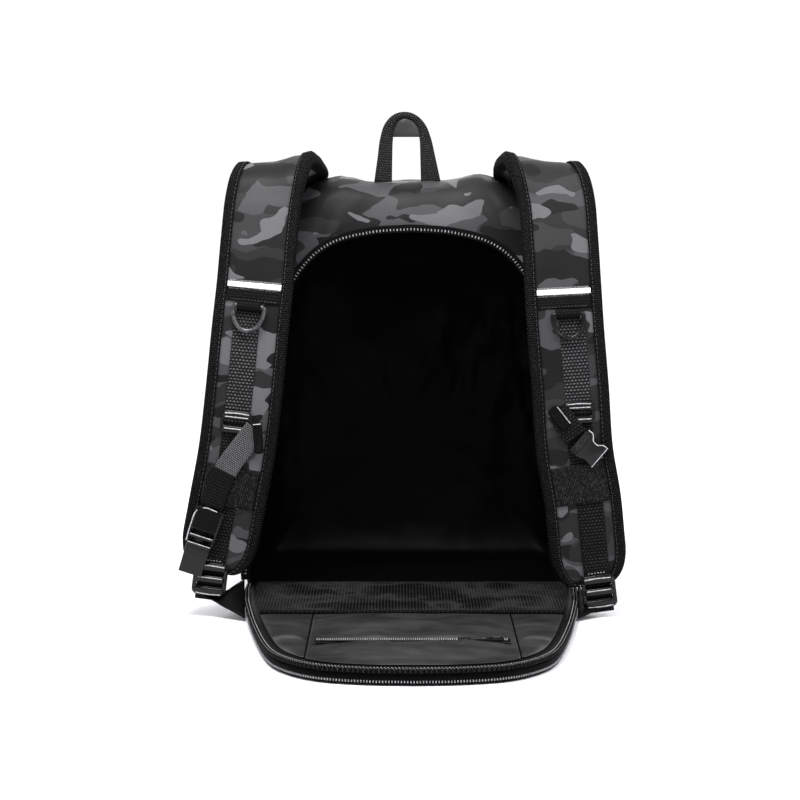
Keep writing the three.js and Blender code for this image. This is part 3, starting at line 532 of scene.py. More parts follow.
def elastic():
    look = Look("ribbed elastic", 0.7)
    u, v = look.across_and_along()
    height = look.math("MULTIPLY_ADD", look.wave(v, 0.0022), 0.25, look.wave(u, 0.00155))
    factor = look.math("MULTIPLY", height, look.object_noise(420, 2.0))
    tones = look.ramp(factor, [(0.1, 0.003), (0.5, 0.012), (0.75, 0.05)])
    return look.finish(tones, height, 0.8, 0.0005, specular=0.04)


def nylon():
    look = Look("grey nylon", 0.36)
    grain = look.object_noise(1100, 1.0)
    cloud = look.object_noise(22, 3.0, stretch=(1, 1.8, 1))
    tones = look.mix(0.5, look.ramp(grain, [(0.3, 0.012), (0.7, 0.028)]),
                     look.ramp(cloud, [(0.35, 0.008), (0.65, 0.034)]))
    rough = look.math("MULTIPLY_ADD", cloud, 0.2, 0.3)
    return look.finish(tones, grain, 0.3, 0.0002, rough, specular=0.25)


def net():
    look = Look("black net", 0.75)
    inputs = {"Vector": look.place, "Scale": 330.0, "Randomness": 0.1}
    holes = look.node("ShaderNodeTexVoronoi", inputs, feature="F1").outputs["Distance"]
    tones = look.ramp(holes, [(0.2, 0.0004), (0.45, 0.003), (0.6, 0.022)])
    return look.finish(tones, holes, 0.9, 0.0006, specular=0.02)


def grained(name, roughness, tones, grain, bump, specular, metallic=0.0, rough=None):
    """A plain finish between two tones, with grain of (scale, detail) and bump of (strength, distance)."""
    look = Look(name, roughness, metallic)
    grain = look.object_noise(*grain)
    rough = rough and look.math("MULTIPLY_ADD", grain, *rough)
    return look.finish(look.ramp(grain, list(zip((0.3, 0.7), tones))), grain, *bump, rough, specular)


CAMO = camouflage()
NYLON = nylon()
NET = net()
ELASTIC = elastic()
LINING = grained("black lining", 0.45, (0.0010, 0.0022), (500, 2.0), (0.2, 0.0002), 0.035)
PANEL = grained("black panel cloth", 0.5, (0.001, 0.003), (900, 2.0), (0.3, 0.0002), 0.05)
PLASTIC = grained("black plastic", 0.2, (0.002, 0.004), (600, 2.0), (0.08, 0.0002), 0.2, rough=(0.14, 0.14))
# Painted highlight: pale grey for the thin wires laid along the plastic's edges, standing for glints
PAINTED_GLINT = grained("worn plastic edge", 0.25, (0.2, 0.5), (500, 2.0), (0.1, 0.0002), 0.5)
RING = grained("ring finish", 0.25, (0.03, 0.075), (260, 3.0), (0.06, 0.0002), 0.5, 0.5, (0.2, 0.15))
TEETH = grained("zip teeth", 0.35, (0.12, 0.34), (400, 1.0), (0.1, 0.0001), 0.4)
REFLECTIVE = grained("reflective tape", 0.35, (0.9, 0.99), (1500, 1.0), (0.15, 0.0001), 0.4)
THREAD = grained("grey thread", 0.7, (0.02, 0.07), (900, 1.0), (0.2, 0.0001), 0.15)
PALE_THREAD = grained("pale thread", 0.7, (0.14, 0.38), (900, 1.0), (0.2, 0.0001), 0.15)
WEBBING = woven("coarse webbing", 0.003, 0.12, 0.0034, specks=0.1)
TWILL = woven("light twill webbing", 0.02, 0.15, 0.0020, specks=0.35)
DARK_WEBBING = woven("dark webbing", 0.002, 0.024, 0.0030)
# A darker copy of the coarse webbing, painted shade: the same webbing as it looks in shade
SHADED_WEBBING = woven("worn dark webbing", 0.002, 0.042, 0.0034)
LOOP_WEBBING = woven("loop webbing", 0.004, 0.085, 0.0026)
BINDING = woven("twill binding", 0.001, 0.045, 0.0024, specks=-0.03, specular=0.02)
TAPE = woven("zip tape", 0.002, 0.007, 0.0012)

# Body surface, by the same tables as the solids: half outlines as shares of the width and height
BODY_OUTLINE = [
    (0, 0), (0.5, 0), (0.9, 0), (0.985, 0.02), (1, 0.07), (1, 0.24), (0.988, 0.48),
    (0.94, 0.72), (0.84, 0.86), (0.68, 0.965), (0.44, 1.014), (0.22, 1), (0, 1),
]
OPENING_OUTLINE = [
    (0, 0), (0.5, 0), (0.88, 0), (0.96, 0.012), (0.99, 0.05), (0.985, 0.12), (0.958, 0.271),
    (0.874, 0.542), (0.766, 0.786), (0.65, 0.894), (0.479, 0.962), (0.24, 0.992), (0, 1),
]
# depth, blend from the opening's outline to the body's, width, top, lift
BODY_SECTIONS = np.array([
    (0, 0, 1, 1, 0),
    (0.014, 0.3, 1, 1, 0),
    (0.05, 0.64, 1, 1, 0),
    (0.1, 0.88, 1, 1, 0),
    (0.17, 1, 1, 1, 0),
    (0.36, 1, 1, 1, 0),
    (0.55, 1, 1, 0.965, 0),
    (0.72, 1, 0.99, 0.895, 0),
    (0.86, 1, 0.96, 0.8, 0),
    (0.95, 1, 0.9, 0.7, 0.02),
    (1.02, 1, 0.74, 0.57, 0.09),
    (1.05, 1, 0.4, 0.45, 0.2),
])
BACK_POLE = (1.055, 0.32)


def outline_curve(rows, width, height):
    """A half outline as points, with each one's share of the length."""
    points, _ = catmull(np.array(rows, float) * (width / 2, height), 16, 0.0)
    points[:, 1] = np.maximum(points[:, 1], 0)
    lengths = lengths_along(points)
    return points, lengths / lengths[-1]


BODY_CURVE = outline_curve(BODY_OUTLINE, BODY_WIDTH, BODY_HEIGHT)
OPENING_CURVE = outline_curve(OPENING_OUTLINE, OPENING_WIDTH, OPENING_HEIGHT)
# The part of the opening's curve that rises from the base
OPENING_SIDE = slice(40, None)


def section_line(section, shares):
    """Half of the body's outline at one section, as x and height at shares of its length."""
    _, blend, width, top, lift = section
    mouth, whole = (sample(*curve, shares) for curve in (OPENING_CURVE, BODY_CURVE))
    flat = mouth + (whole - mouth) * blend
    return flat[:, 0] * width, lift * BODY_HEIGHT + flat[:, 1] * (top - lift)


def body_surface(columns, per_span):
    """The outer surface as rings from the opening back, each from the base's middle round to it again."""
    shares = np.linspace(0, 1, columns // 2 + 1)
    rings = []
    for section in catmull(BODY_SECTIONS, per_span, 0.0)[0]:
        x, z = section_line(section, shares)
        y = np.full(len(x), OPENING_Y + max(0, section[0]) * BODY_DEPTH)
        right = np.stack([x, y, np.maximum(z, 0)], axis=-1)
        rings.append(np.vstack([right, right[1:-1][::-1] * (-1, 1, 1)]))
    return np.array(rings)


def surface_normals(rings):
    around = np.roll(rings, -1, axis=1) - np.roll(rings, 1, axis=1)
    normals = unit(np.cross(np.gradient(rings, axis=0), around))
    centre = np.array([0, 0, BODY_HEIGHT * 0.45])
    inwards = np.sum(normals * (rings - centre), axis=-1, keepdims=True) < 0
    normals = np.where(inwards, -normals, normals)
    normals[0, :, 1] = np.minimum(normals[0, :, 1], 0)
    return normals


def build_body():
    rings = body_surface(216, 7)
    normals = surface_normals(rings)
    side, away, up = (rings[..., k] for k in range(3))
    depth = (away - OPENING_Y) / BODY_DEPTH
    height = up / BODY_HEIGHT
    # Creases that run from the strap roots down over the yoke, and soft dents elsewhere
    top = np.clip((height - 0.7) / 0.25, 0, 1)
    root = np.exp(-((np.abs(side) - 0.085) / 0.03) ** 2) * top
    slant = rings * (1, 0.6, 0.35)
    slant[..., 0] += up * 0.5 * np.sign(side)
    creases = layered(slant, (0.012, 3, 0.0026), (0.006, 4, 0.0008)) * root
    soft = noise(rings * (1, 1, 0.8), 0.055, 5) * 0.0024 + noise(rings, 0.022, 7) * 0.0009
    roll = np.exp(-((depth - 0.07) / 0.05) ** 2) * top * 0.0022
    push = (creases + soft * np.clip(depth / 0.05, 0, 1) + roll) * np.clip(up / 0.03, 0, 1)
    outer = rings + normals * push[..., None]
    outer[..., 2] = np.maximum(outer[..., 2], 0)
    inner = rings - normals * CLOTH_WALL
    inner[..., 1] = np.maximum(inner[..., 1], OPENING_Y)
    pole = np.array([0, OPENING_Y + BACK_POLE[0] * BODY_DEPTH, BACK_POLE[1] * BODY_HEIGHT])
    poles = [pole - AWAY * CLOTH_WALL, pole]
    body = closed_loft("body_cloth", np.concatenate([inner[::-1], outer]), CAMO, poles)
    settle(body, "camouflage_cloth", "body_yoke", "body_shell", "body_back")

    # Lining, which hangs slack inside and gathers on the right
    back = np.clip(depth / 0.12, 0, 1) * np.clip(up / 0.05, 0.15, 1)
    folds = 0.5 + 0.5 * noise(rings * (1, 1, 0.35), 0.028, 11)
    fine = 0.5 + 0.5 * noise(rings * (1, 1, 0.5), 0.011, 13)
    gather = np.clip(side / 0.12, 0, 1) * np.clip(1 - np.abs(height - 0.5) / 0.35, 0, 1)
    slack = 0.0013 + back * (0.006 * folds + 0.0022 * fine + gather * 0.008 * fine)
    outside = rings - normals * (CLOTH_WALL + LINING_GAP)
    inside = rings - normals * (CLOTH_WALL + slack[..., None])
    for layer in (outside, inside):
        layer[..., 1] = np.maximum(layer[..., 1], OPENING_Y + 0.0002)
    poles = [pole - AWAY * (CLOTH_WALL + gap) for gap in (0.003, LINING_GAP)]
    cloth = closed_loft("lining_cloth", np.concatenate([inside[::-1], outside]), LINING, poles)
    settle(cloth, "black_lining", "body_lining")


# Opening line, shared by the zips, the piping and the panel

def opening_line(inwards, start_height, count):
    """The opening's edge from one foot over the top to the other, as x and height."""
    points, shares = OPENING_CURVE
    start = np.interp(start_height, points[OPENING_SIDE, 1], shares[OPENING_SIDE])
    places = np.linspace(start, 1, count)
    step = 0.002
    before, after = (sample(points, shares, p) for p in (places - step, np.minimum(places + step, 1)))
    tangent = unit(after - before)
    side = sample(points, shares, places) + np.stack([-tangent[:, 1], tangent[:, 0]], axis=-1) * inwards
    side[-1, 0] = 0
    return np.vstack([side, side[:-1][::-1] * (-1, 1)])


def panel_line(inwards, foot, count=60):
    line = opening_line(inwards, OPENING_HEIGHT * CORNER_SHARE, count)
    return np.vstack([(line[0, 0], foot), line, (line[-1, 0], foot)])


def lying(line, height):
    """A line of (x, reach) pairs on the folded panel, at a height."""
    return np.stack([line[:, 0], HINGE_Y - line[:, 1], np.full(len(line), height)], axis=-1)


def build_zips():
    line = opening_line(0.0, FLAP_THICKNESS + 0.003, 110)
    position = np.stack([line[:, 0], np.full(len(line), OPENING_Y - 0.0003), line[:, 1]], axis=-1)
    position, across, outs = frames_of(position, FRONT)
    tape = sweep("body_zip_tape", (position, across, outs), ribbon_section(0.008, 0.0010, 0, 0.002), TAPE)
    settle(tape, "zipper", "body_zipper")
    pitch, size = BODY_TEETH
    centres, along, side = rows_along(position + across * 0.0012, pitch, across)
    row = block_row("body_zip_teeth", centres + FRONT * 0.0013, (along, side, FRONT), size, TEETH)
    settle(row, "zipper")

    position, across, outs = frames_of(lying(panel_line(0.0028, 0.003), 0.0012), UP)
    section = [(-0.0006, 0), (0.0006, 0), (0.0006, 0.008), (-0.0006, 0.008)]
    settle(sweep("flap_zip_tape", (position, across, outs), section, TAPE), "zipper", "flap_zipper")
    pitch, size = FLAP_TEETH
    centres, along, side = rows_along(position, pitch, across)
    inward = np.sum(side * (centres - (0, HINGE_Y - 0.15, 0)), axis=-1, keepdims=True) < 0
    outward = np.where(inward, -side, side)
    centres = centres + UP * 0.0026 + outward * 0.0012
    settle(block_row("flap_zip_teeth", centres, (along, UP, outward), size, PALE_THREAD), "zipper")


# Folded panel

def half_at(reach):
    """Half the room for the pockets at a distance from the hinge."""
    line = panel_line(POCKET_MARGIN, 0.0)
    right = line[:len(line) // 2 + 1]
    return np.interp(reach, right[:, 1], right[:, 0])


# The panel's rounded edge as share of its outline and height
PANEL_PROFILE = [
    (0.60, 0.0), (0.97, 0.0), (0.992, 0.001), (1.0, 0.004), (1.001, 0.0075), (0.998, 0.011), (0.988, 0.0138),
    (0.965, 0.0152), (0.86, PANEL_TOP), (0.6, PANEL_TOP),
]


def build_panel():
    line = panel_line(2 * PIPING + 0.0004, 0.0, 70)
    middle = np.array([[0.0, OPENING_HEIGHT * 0.45]])
    rings = []
    for share, height in PANEL_PROFILE:
        flat = middle + (line - middle) * share
        flat[:, 1] = np.maximum(flat[:, 1], 0.0)
        rings.append(lying(flat, height))
    rings = np.array(rings)
    sag = noise(rings, 0.045, 21) * 0.0008 * np.clip((rings[..., 2] - 0.002) / 0.01, 0, 1)
    rings[..., 2] = np.clip(rings[..., 2] - np.abs(sag), 0, None)
    poles = [lying(middle, height)[0] for height in (0.0, PANEL_TOP)]
    panel = settle(closed_loft("panel_cloth", rings, PANEL, poles), "black_lining", "flap_panel")

    frames = frames_of(lying(panel_line(PIPING, 0.003), FLAP_THICKNESS - PIPING), UP)
    piping = sweep("flap_piping", frames, round_section(PIPING * 1.05, 12), BINDING)
    settle(piping, "binding", "flap_binding")
    for k, (inward, height) in enumerate(((-0.0004, 0.0148), (0.0022, 0.0152))):
        edge = lying(panel_line(PIPING + inward, 0.004, 90), height)
        stitches(f"piping_stitches_{k}", edge, UP, PIPING_STITCH, PALE_THREAD, "binding")


def pocket_cloth(name, reaches_of, across_of, puff, folds, material, slot, node, held):
    """A cloth patch on the panel, puffed up between its sewn edges."""
    rows, columns = PATCH_ROWS, PATCH_COLUMNS
    (reach_from, reach_to), (x_from, x_to) = reaches_of, across_of
    reaches = np.linspace(reach_from, reach_to, rows)
    across = np.linspace(0, 1, columns)
    limit = half_at(reaches)
    low = np.clip(x_from, -limit, limit)
    high = np.clip(x_to, -limit, limit)
    x = low[:, None] + (high - low)[:, None] * across[None]
    reach = np.repeat(reaches[:, None], columns, axis=1)
    lengthways = 1 - np.abs(2 * np.linspace(0, 1, rows) - 1) ** 5
    crossways = 1 - np.abs(2 * across - 1) ** 3
    inner = lengthways[:, None] * crossways[None]
    rise = puff * inner + folds(x, reach, inner)
    top = np.stack([x, HINGE_Y - reach, FLAP_THICKNESS + POCKET_LIFT + np.maximum(rise, 0)], axis=-1)
    under = top - UP * POCKET_CLOTH
    under[..., 2] = np.maximum(under[..., 2], FLAP_THICKNESS + 0.0002)
    verts = np.vstack([top.reshape(-1, 3), under.reshape(-1, 3)])
    faces = grid_faces(rows, columns, False)
    size = rows * columns
    faces += [tuple(size + v for v in face[::-1]) for face in faces]
    rim = [*range(columns), *range(2 * columns - 1, size, columns), *range(size - 2, size - columns - 1, -1),
           *range(size - 2 * columns, 0, -columns)]
    for a, b in zip(rim, rim[1:] + rim[:1]):
        faces.append((a, a + size, b + size, b))
    piece = settle(new_object(name, verts, faces, verts[:, :2], material), slot, node)


def net_folds(x, reach, inner):
    points = np.stack([x, reach, x * 0], axis=-1)
    return inner * layered(points, (0.03, 31, 0.0017), (0.012, 32, 0.0007))


def middle_folds(x, reach, inner):
    """Creases, the groove that the zip lies in, and the slope in front of it."""
    points = np.stack([x, reach * 1.6, x * 0], axis=-1)
    past_zip = reach - POCKET_ZIP
    groove = -0.0045 * np.exp(-(past_zip / 0.006) ** 2) * (np.abs(x) < 0.087)
    fall = -0.0045 * np.clip((past_zip - 0.006) / 0.06, 0, 1)
    return inner * layered(points, (0.05, 33, 0.0026), (0.016, 34, 0.0010)) + groove + fall


def pleats(x, reach, inner):
    """A pleat with a sharp lip, and a shallow tuck behind it."""
    side = np.abs(x)
    points = np.stack([x, reach, x * 0], axis=-1)
    past_lip = reach - 0.258 + 0.1 * (side - 0.09) - 0.012
    ridge = 0.0035 * np.clip(1 - np.abs(past_lip) / 0.013, 0, 1) ** 1.5 * (past_lip < 0)
    lip = 0.0035 * np.exp(-np.clip(past_lip, 0, None) / 0.0022) * (past_lip >= 0)
    second = reach - 0.215 + 0.25 * (side - 0.09)
    tuck = -0.0022 * np.exp(-(second / 0.0035) ** 2)
    return inner * (ridge + lip + tuck + 0.0009 * noise(points, 0.03, 35))


def build_pockets():
    net_patch = ((0.0015, 0.155), (-1, 1), 0.0012)
    middle_patch = ((POCKET_FROM, 0.356), (-0.091, 0.091), 0.006)
    pocket_cloth("flap_net_cloth", *net_patch, net_folds, NET, "net", "flap_mesh", "stretched")
    pocket_cloth("flap_pocket_cloth", *middle_patch, middle_folds, NYLON, "nylon", "flap_pocket", "laid")
    for side, across_of in (("left", (-1, -0.0925)), ("right", (0.0925, 1))):
        pocket_cloth(f"flap_pleat_cloth_{side}", (POCKET_FROM, 0.328), across_of, 0.0022, pleats, NYLON,
                     "nylon", f"flap_pleat_{side}", "folded")

    # Bound edge across the pocket's mouth
    half = half_at(POCKET_MOUTH)
    x = np.linspace(-half, half, 40)
    edge = lying(np.stack([x, POCKET_MOUTH - 0.0006 * np.sin(x / 0.03)], axis=-1), FLAP_THICKNESS + 0.0008)
    section = rounded_section(0.007, 0.0034, 0.0012)
    settle(sweep("pocket_edge_binding", frames_of(edge, UP), section, BINDING), "binding")

    # Pocket zip in its groove, with slider and pull
    low, high = node_box("pocket_zipper")
    y = (low[1] + high[1]) / 2
    path = np.array([(x, y, low[2] + 0.0012) for x in np.linspace(low[0], high[0], 60)])
    tape = sweep("pocket_zip_tape", (path, AWAY, UP), rounded_section(0.009, 0.0011, 0.0004), TAPE)
    settle(tape, "zipper", "pocket_zipper")
    pitch, size = POCKET_TEETH
    centres, along, side = rows_along(path, pitch, AWAY)
    settle(block_row("pocket_zip_teeth", centres + UP * 0.0015, (along, side, UP), size, TEETH), "zipper")

    low, high = node_box("pocket_slider")
    place = (np.array([(low[0] + high[0]) / 2, y, low[2]]), RIGHT, AWAY, UP)
    half = [(-0.006, -0.0026), (-0.002, -0.004), (0.004, -0.004), (0.006, -0.0022)]
    body = half + [(a, -b) for a, b in half[::-1]]
    plate = shape_plate("slider_plate", body, 0.0024, place, PLASTIC, 0.0005)
    bridge = rounded_outline(0.007, 0.0022, 0.0008)
    bridge = shape_plate("slider_bridge", bridge, 0.0016, lifted(place, 0.0022), RING, 0.0004)
    settle(join("pocket_slider_body", [plate, bridge]), "plastic", "pocket_slider")
    low, high = node_box("pocket_pull")
    place = (np.array([(low[0] + high[0]) / 2, y, low[2]]), RIGHT, AWAY, UP)
    shape = rounded_outline(high[0] - low[0] + 0.004, 0.0062, 0.0028)
    hole = rounded_outline(0.014, 0.0022, 0.0009, (0.004, 0))
    pull = shape_plate("pocket_pull_tab", shape, 0.0022, place, PLASTIC, 0.0007, [hole])
    settle(pull, "plastic", "pocket_pull")


# Haul loop: across and up as shares of its height, width in the loop's plane in mm, share folded
HANDLE_ROWS = np.array([
    (-0.35, 0, 18, 0), (-0.325, 0.33, 15, 0), (-0.3, 0.62, 13, 0.1), (-0.255, 0.8, 11, 0.5),
    (-0.17, 0.915, 8, 0.9), (-0.04, 0.96, 6, 1), (0.09, 0.92, 7, 0.9), (0.2, 0.8, 8.5, 0.5),
    (0.255, 0.62, 11.5, 0.1), (0.295, 0.33, 15.5, 0), (0.335, 0, 20, 0),
])
HANDLE_HEIGHT = 0.07
HANDLE_CENTRE = -0.0035
FLAT_MM = 2.3
FOLDED_MM = 10
# The grip's share of its outline, and how far behind the loop's plane
GRIP_PROFILE = ((0.02, 0.0032), (0.6, 0.003), (0.92, 0.0022), (1.0, 0.0008))


def build_handle():
    low, high = node_box("handle_webbing")
    y = (low[1] + high[1]) / 2
    across, up, widths, folds = HANDLE_ROWS.T
    points = [(HANDLE_CENTRE + a * HANDLE_HEIGHT, y, low[2] + b * HANDLE_HEIGHT) for a, b in zip(across, up)]
    path, places = catmull(points, 12, 0.5)
    width = np.interp(places, range(len(widths)), widths) * MM
    thick = (FLAT_MM + (FOLDED_MM - FLAT_MM) * np.interp(places, range(len(folds)), folds)) * MM
    along = unit(np.gradient(path, axis=0))
    across = np.stack([-along[:, 2], along[:, 1] * 0, along[:, 0]], axis=-1)
    across[0], across[-1] = -RIGHT, RIGHT
    sections = [rounded_section(w, t, min(t, w) / 2 * 0.95, -t / 2) for w, t in zip(width, thick)]
    settle(sweep("haul_loop", (path, across, FRONT), sections, LOOP_WEBBING), "webbing", "handle_webbing")

    # The folded grip fills the arch
    arch = (path - across * (width / 2 - 0.0006)[:, None])[path[:, 2] > low[2] + 0.64 * HANDLE_HEIGHT]
    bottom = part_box("handle_grip")[0][2]
    above = [(p[0], p[2]) for p in arch if p[2] > bottom + 0.001]
    flat = np.array([(arch[0, 0], bottom), *above, (arch[-1, 0], bottom)])
    centre = flat.mean(axis=0)
    rings = []
    for share, behind in GRIP_PROFILE + tuple((share, -behind) for share, behind in GRIP_PROFILE[::-1]):
        ring = centre + (flat - centre) * share
        rings.append(np.stack([ring[:, 0], np.full(len(ring), y + behind), ring[:, 1]], axis=-1))
    settle(closed_loft("haul_loop_grip", rings, NYLON), "nylon", "handle_grip")

    # Pale stitches between the loop's ends
    ends = path[0, 0] + 0.0095, path[-1, 0] - 0.0105
    seam = np.array([(x, y - 0.0015, low[2] + 0.0006) for x in np.linspace(*ends, 20)])
    stitches("haul_loop_stitches", seam, np.array([0.0, -0.6, 0.8]), LOOP_STITCH, PALE_THREAD, "webbing")


# Shoulder straps: height of the crest, forward of the opening, left and right across, roll
STRAP_ROWS = [
    (0.962, -0.15, 0.712, 0.69, 21),
    (0.984, 0.22, 0.776, 0.744, 8),
    (0.957, 0.44, 0.812, 0.79, 5),
    (0.908, 0.55, 0.84, 0.823, 3),
    (0.82, 0.67, 0.862, 0.84, 2),
    (0.725, 0.77, 0.882, 0.853, 0),
    (0.629, 0.86, 0.908, 0.867, 0),
    (0.5, 0.93, 0.941, 0.894, 0),
    (0.367, 0.98, 0.982, 0.918, 0),
    (0.257, 1, 1.035, 0.966, 0),
    (0.169, 1, 1.079, 0.99, 0),
    (0.1, 0.98, 1.112, 1.01, 0),
    (0.03, 0.95, 1.135, 1.035, 0),
]
# across, depth, share of the thickness left
ROOT_ROWS = [(0.62, 0.4, 0.45), (0.63, 0.24, 0.7)]
# Heights are shares of the strap's. Places from the glide are outwards, down and forward in mm:
# sternum is the chest strap's line, and light the part of its length that is in light twill,
# buckle has its start, lift, end and width, and fold its middle, size and turn in degrees
SIDES = [
    dict(name="left", sign=-1, column=2, strip=0.727, ring_drop=0.0228, glide=0.428, elastic=0.289,
         end=0.1, lock=0.087, ring_shift=0.0025, shift=0.0035,
         sternum=[(-19, 6, 7), (-6, 23, 7.4), (8, 42, 9), (17, 61, 10), (24, 80, 11.5)],
         light=(5, 9), fold=(-21, 14, 9, 31, 4),
         buckle=(24.2, 80.8, 11, 45, 144, 28)),
    dict(name="right", sign=1, column=3, strip=0.714, ring_drop=0.0237, glide=0.449, elastic=0.294,
         end=0.072, lock=0.058, ring_shift=0.0022, shift=0.006,
         sternum=[(-20.5, -1.5, 7.2), (-12, 10, 7.4), (-2.5, 23, 7.6)],
         light=(1, 1), fold=(-19, 4.5, 25, 12, 52),
         buckle=(-0.4, 25.9, 7.0, 20, 43, 27)),
]


def root_point(across, depth, thin):
    """A strap root's middle on the body's shoulder, and the slope there."""
    section = [np.interp(depth, BODY_SECTIONS[:, 0], BODY_SECTIONS[:, k]) for k in range(5)]
    x, z = section_line(section, np.linspace(0.7, 1, 400))
    place = int(np.argmin(np.abs(x - across * BODY_WIDTH / 2)))
    span = 12
    slope = np.array([x[place - span] - x[place + span], z[place - span] - z[place + span]])
    out = np.array([-slope[1], slope[0]]) / np.hypot(*slope)
    lift = (FACING + BINDING_LIFT) * thin + ROOT_CLEARANCE
    point = (x[place] + out[0] * lift, OPENING_Y + section[0] * BODY_DEPTH, z[place] + out[1] * lift)
    return point, math.degrees(math.atan2(-slope[1], slope[0]))


class Strap:
    """One strap's path, with frames at lengths along it."""

    def __init__(self, side):
        self.side = side
        self.name = side["name"]
        self.sign = side["sign"]
        self.ring = side["strip"] * STRAP_HEIGHT - side["ring_drop"]
        points, rolls, thins = [], [], []
        for across, depth, thin in ROOT_ROWS:
            (x, y, z), roll = root_point(across, depth, thin)
            points.append((self.sign * x, y, z))
            rolls.append(roll)
            thins.append(thin)
        for row in STRAP_ROWS:
            x = self.sign * row[side["column"]] * BODY_WIDTH / 2
            points.append((x, OPENING_Y - row[1] * STRAP_STANDOFF, row[0] * STRAP_HEIGHT))
            rolls.append(row[4])
            thins.append(1)
        self.points, places = catmull(points, 20, 0.5)
        self.rolls, self.thins = (np.interp(places, range(len(rows)), rows) for rows in (rolls, thins))
        self.along = unit(np.gradient(self.points, axis=0))
        self.lengths = lengths_along(self.points)

    def at_height(self, heights):
        front = slice(int(np.argmax(self.points[:, 2])), None)
        return np.interp(-heights, -self.points[front, 2], self.lengths[front])

    def frames(self, lengths):
        lengths = np.atleast_1d(lengths)
        position = sample(self.points, self.lengths, lengths)
        along = unit(sample(self.along, self.lengths, lengths))
        roll = np.radians(np.interp(lengths, self.lengths, self.rolls))
        across = np.stack([self.sign * np.cos(roll), roll * 0, -np.sin(roll)], axis=-1)
        across = unit(across - np.sum(across * along, axis=-1, keepdims=True) * along)
        return position, along, across, np.cross(along, across) * self.sign

    def run(self, top, bottom, count):
        """Sweep frames on the strap's face between two heights."""
        lengths = np.linspace(self.at_height(top), self.at_height(bottom), count)
        position, _, across, out = self.frames(lengths)
        return position + out * FACING, across, out

    def place(self, height, lift=0.0, shift=0.0):
        """A spot on the strap's face, with the axes across it, along it and out of it."""
        position, along, across, out = (v[0] for v in self.frames(self.at_height(height)))
        return position + out * (FACING + lift) + across * shift, across, along, out


def pad_section():
    """The pad is full between its bindings and pinched under them."""
    x = np.linspace(-PAD_HALF, PAD_HALF, 18)
    share = np.abs(x) / PAD_HALF
    half = FACING * (0.80 + 0.36 * np.sqrt(np.clip(1 - share ** 2.2, 0, 1)) - 0.34 * share ** 6)
    half = np.minimum(half, FACING * 1.12)
    return np.vstack([np.stack([x, -half], axis=-1), np.stack([x, half], axis=-1)[::-1]])


def binding_section(sign):
    """A tape folded round the strap's edge, seen end on."""
    edge, reach = STRAP_WIDTH / 2, BINDING_REACH
    outer, inner = FACING + BINDING_TAPE, FACING + 0.0008

    def turn(middle, radius, height, start, count):
        angles = np.radians(np.linspace(start, -start, count))
        scale = height / math.sin(abs(angles[0]))
        return [(middle + radius * math.cos(a), scale * math.sin(a)) for a in angles]

    front = [(edge - reach, outer - 0.0004), (edge - reach * 0.55, outer + 0.0002), (edge - 0.0035, outer)]
    points = front + turn(edge - 0.0035, 0.0035, outer, 75, 7) + [(x, -y) for x, y in front[::-1]]
    points += [(edge - reach, -inner), (edge - 0.004, -inner)] + turn(edge - 0.004, 0.0024, inner, -70, 5)
    points += [(edge - 0.004, inner), (edge - reach, inner)]
    return np.array(points) * (sign, 1)


def pad_stations(strap):
    """Places along the strap, closer at its end, with the rounded end's inset and the thickness left."""
    end = strap.at_height(strap.side["end"] * STRAP_HEIGHT)
    turn = np.linspace(0, 1, 26)[1:] * math.pi / 2
    rounded = end - END_RADIUS + END_RADIUS * np.sin(turn)
    lengths = np.concatenate([np.linspace(0.0005, end - END_RADIUS, 150), rounded])
    inset = np.zeros(len(lengths))
    inset[-len(turn):] = (STRAP_WIDTH - END_WIDTH) / 2 * (1 - np.cos(turn))
    return lengths, inset, np.interp(lengths, strap.lengths, strap.thins)


def build_pad(strap):
    name = strap.name
    lengths, inset, thin = pad_stations(strap)
    # The share of its width that a strap keeps where it is sewn in and pressed thin
    narrow = 0.45 + 0.55 * thin
    position, _, across, out = strap.frames(lengths)
    sections = np.repeat(pad_section()[None], len(lengths), axis=0)
    sections[..., 0] *= (narrow * (1 - inset / PAD_HALF))[:, None]
    flat = position[:, None] + sections[..., :1] * across[:, None]
    wrinkle = noise(flat * (1, 1, 1.3), 0.022, 41) * 0.0006 + noise(flat, 0.05, 42) * 0.0008
    from_binding = STRAP_WIDTH / 2 - BINDING_REACH - inset[:, None] - np.abs(sections[..., 0])
    inner = np.clip(from_binding / 0.006, 0, 1)
    sections[..., 1] += np.sign(sections[..., 1]) * wrinkle * inner
    ends = np.clip(np.minimum(lengths - lengths[0], lengths[-1] - lengths) / 0.006, 0.12, 1) ** 0.5
    sections[..., 1] *= (ends * thin)[:, None]
    pad = sweep(f"strap_cloth_{name}", (position, across, out), sections, CAMO)
    settle(pad, "camouflage_cloth", f"strap_pad_{name}")
    for label, sign in (("inner", -1), ("outer", 1)):
        sections = np.repeat(binding_section(sign)[None], len(lengths), axis=0)
        sections[..., 0] -= sign * (inset + (1 - narrow) * STRAP_WIDTH / 2)[:, None]
        sections[..., 1] *= thin[:, None]
        tape = sweep(f"strap_tape_{label}_{name}", (position, across, out), sections, BINDING)
        settle(tape, "binding", f"strap_binding_{label}_{name}")
        edge = sign * (STRAP_WIDTH / 2 * narrow - BINDING_REACH + SEAM_INSET - inset)
        line = position + across * edge[:, None] + out * ((FACING + SEAM_LIFT) * thin)[:, None]
        stitches(f"strap_stitches_{label}_{name}", line, out, STRAP_STITCH, THREAD, "binding")


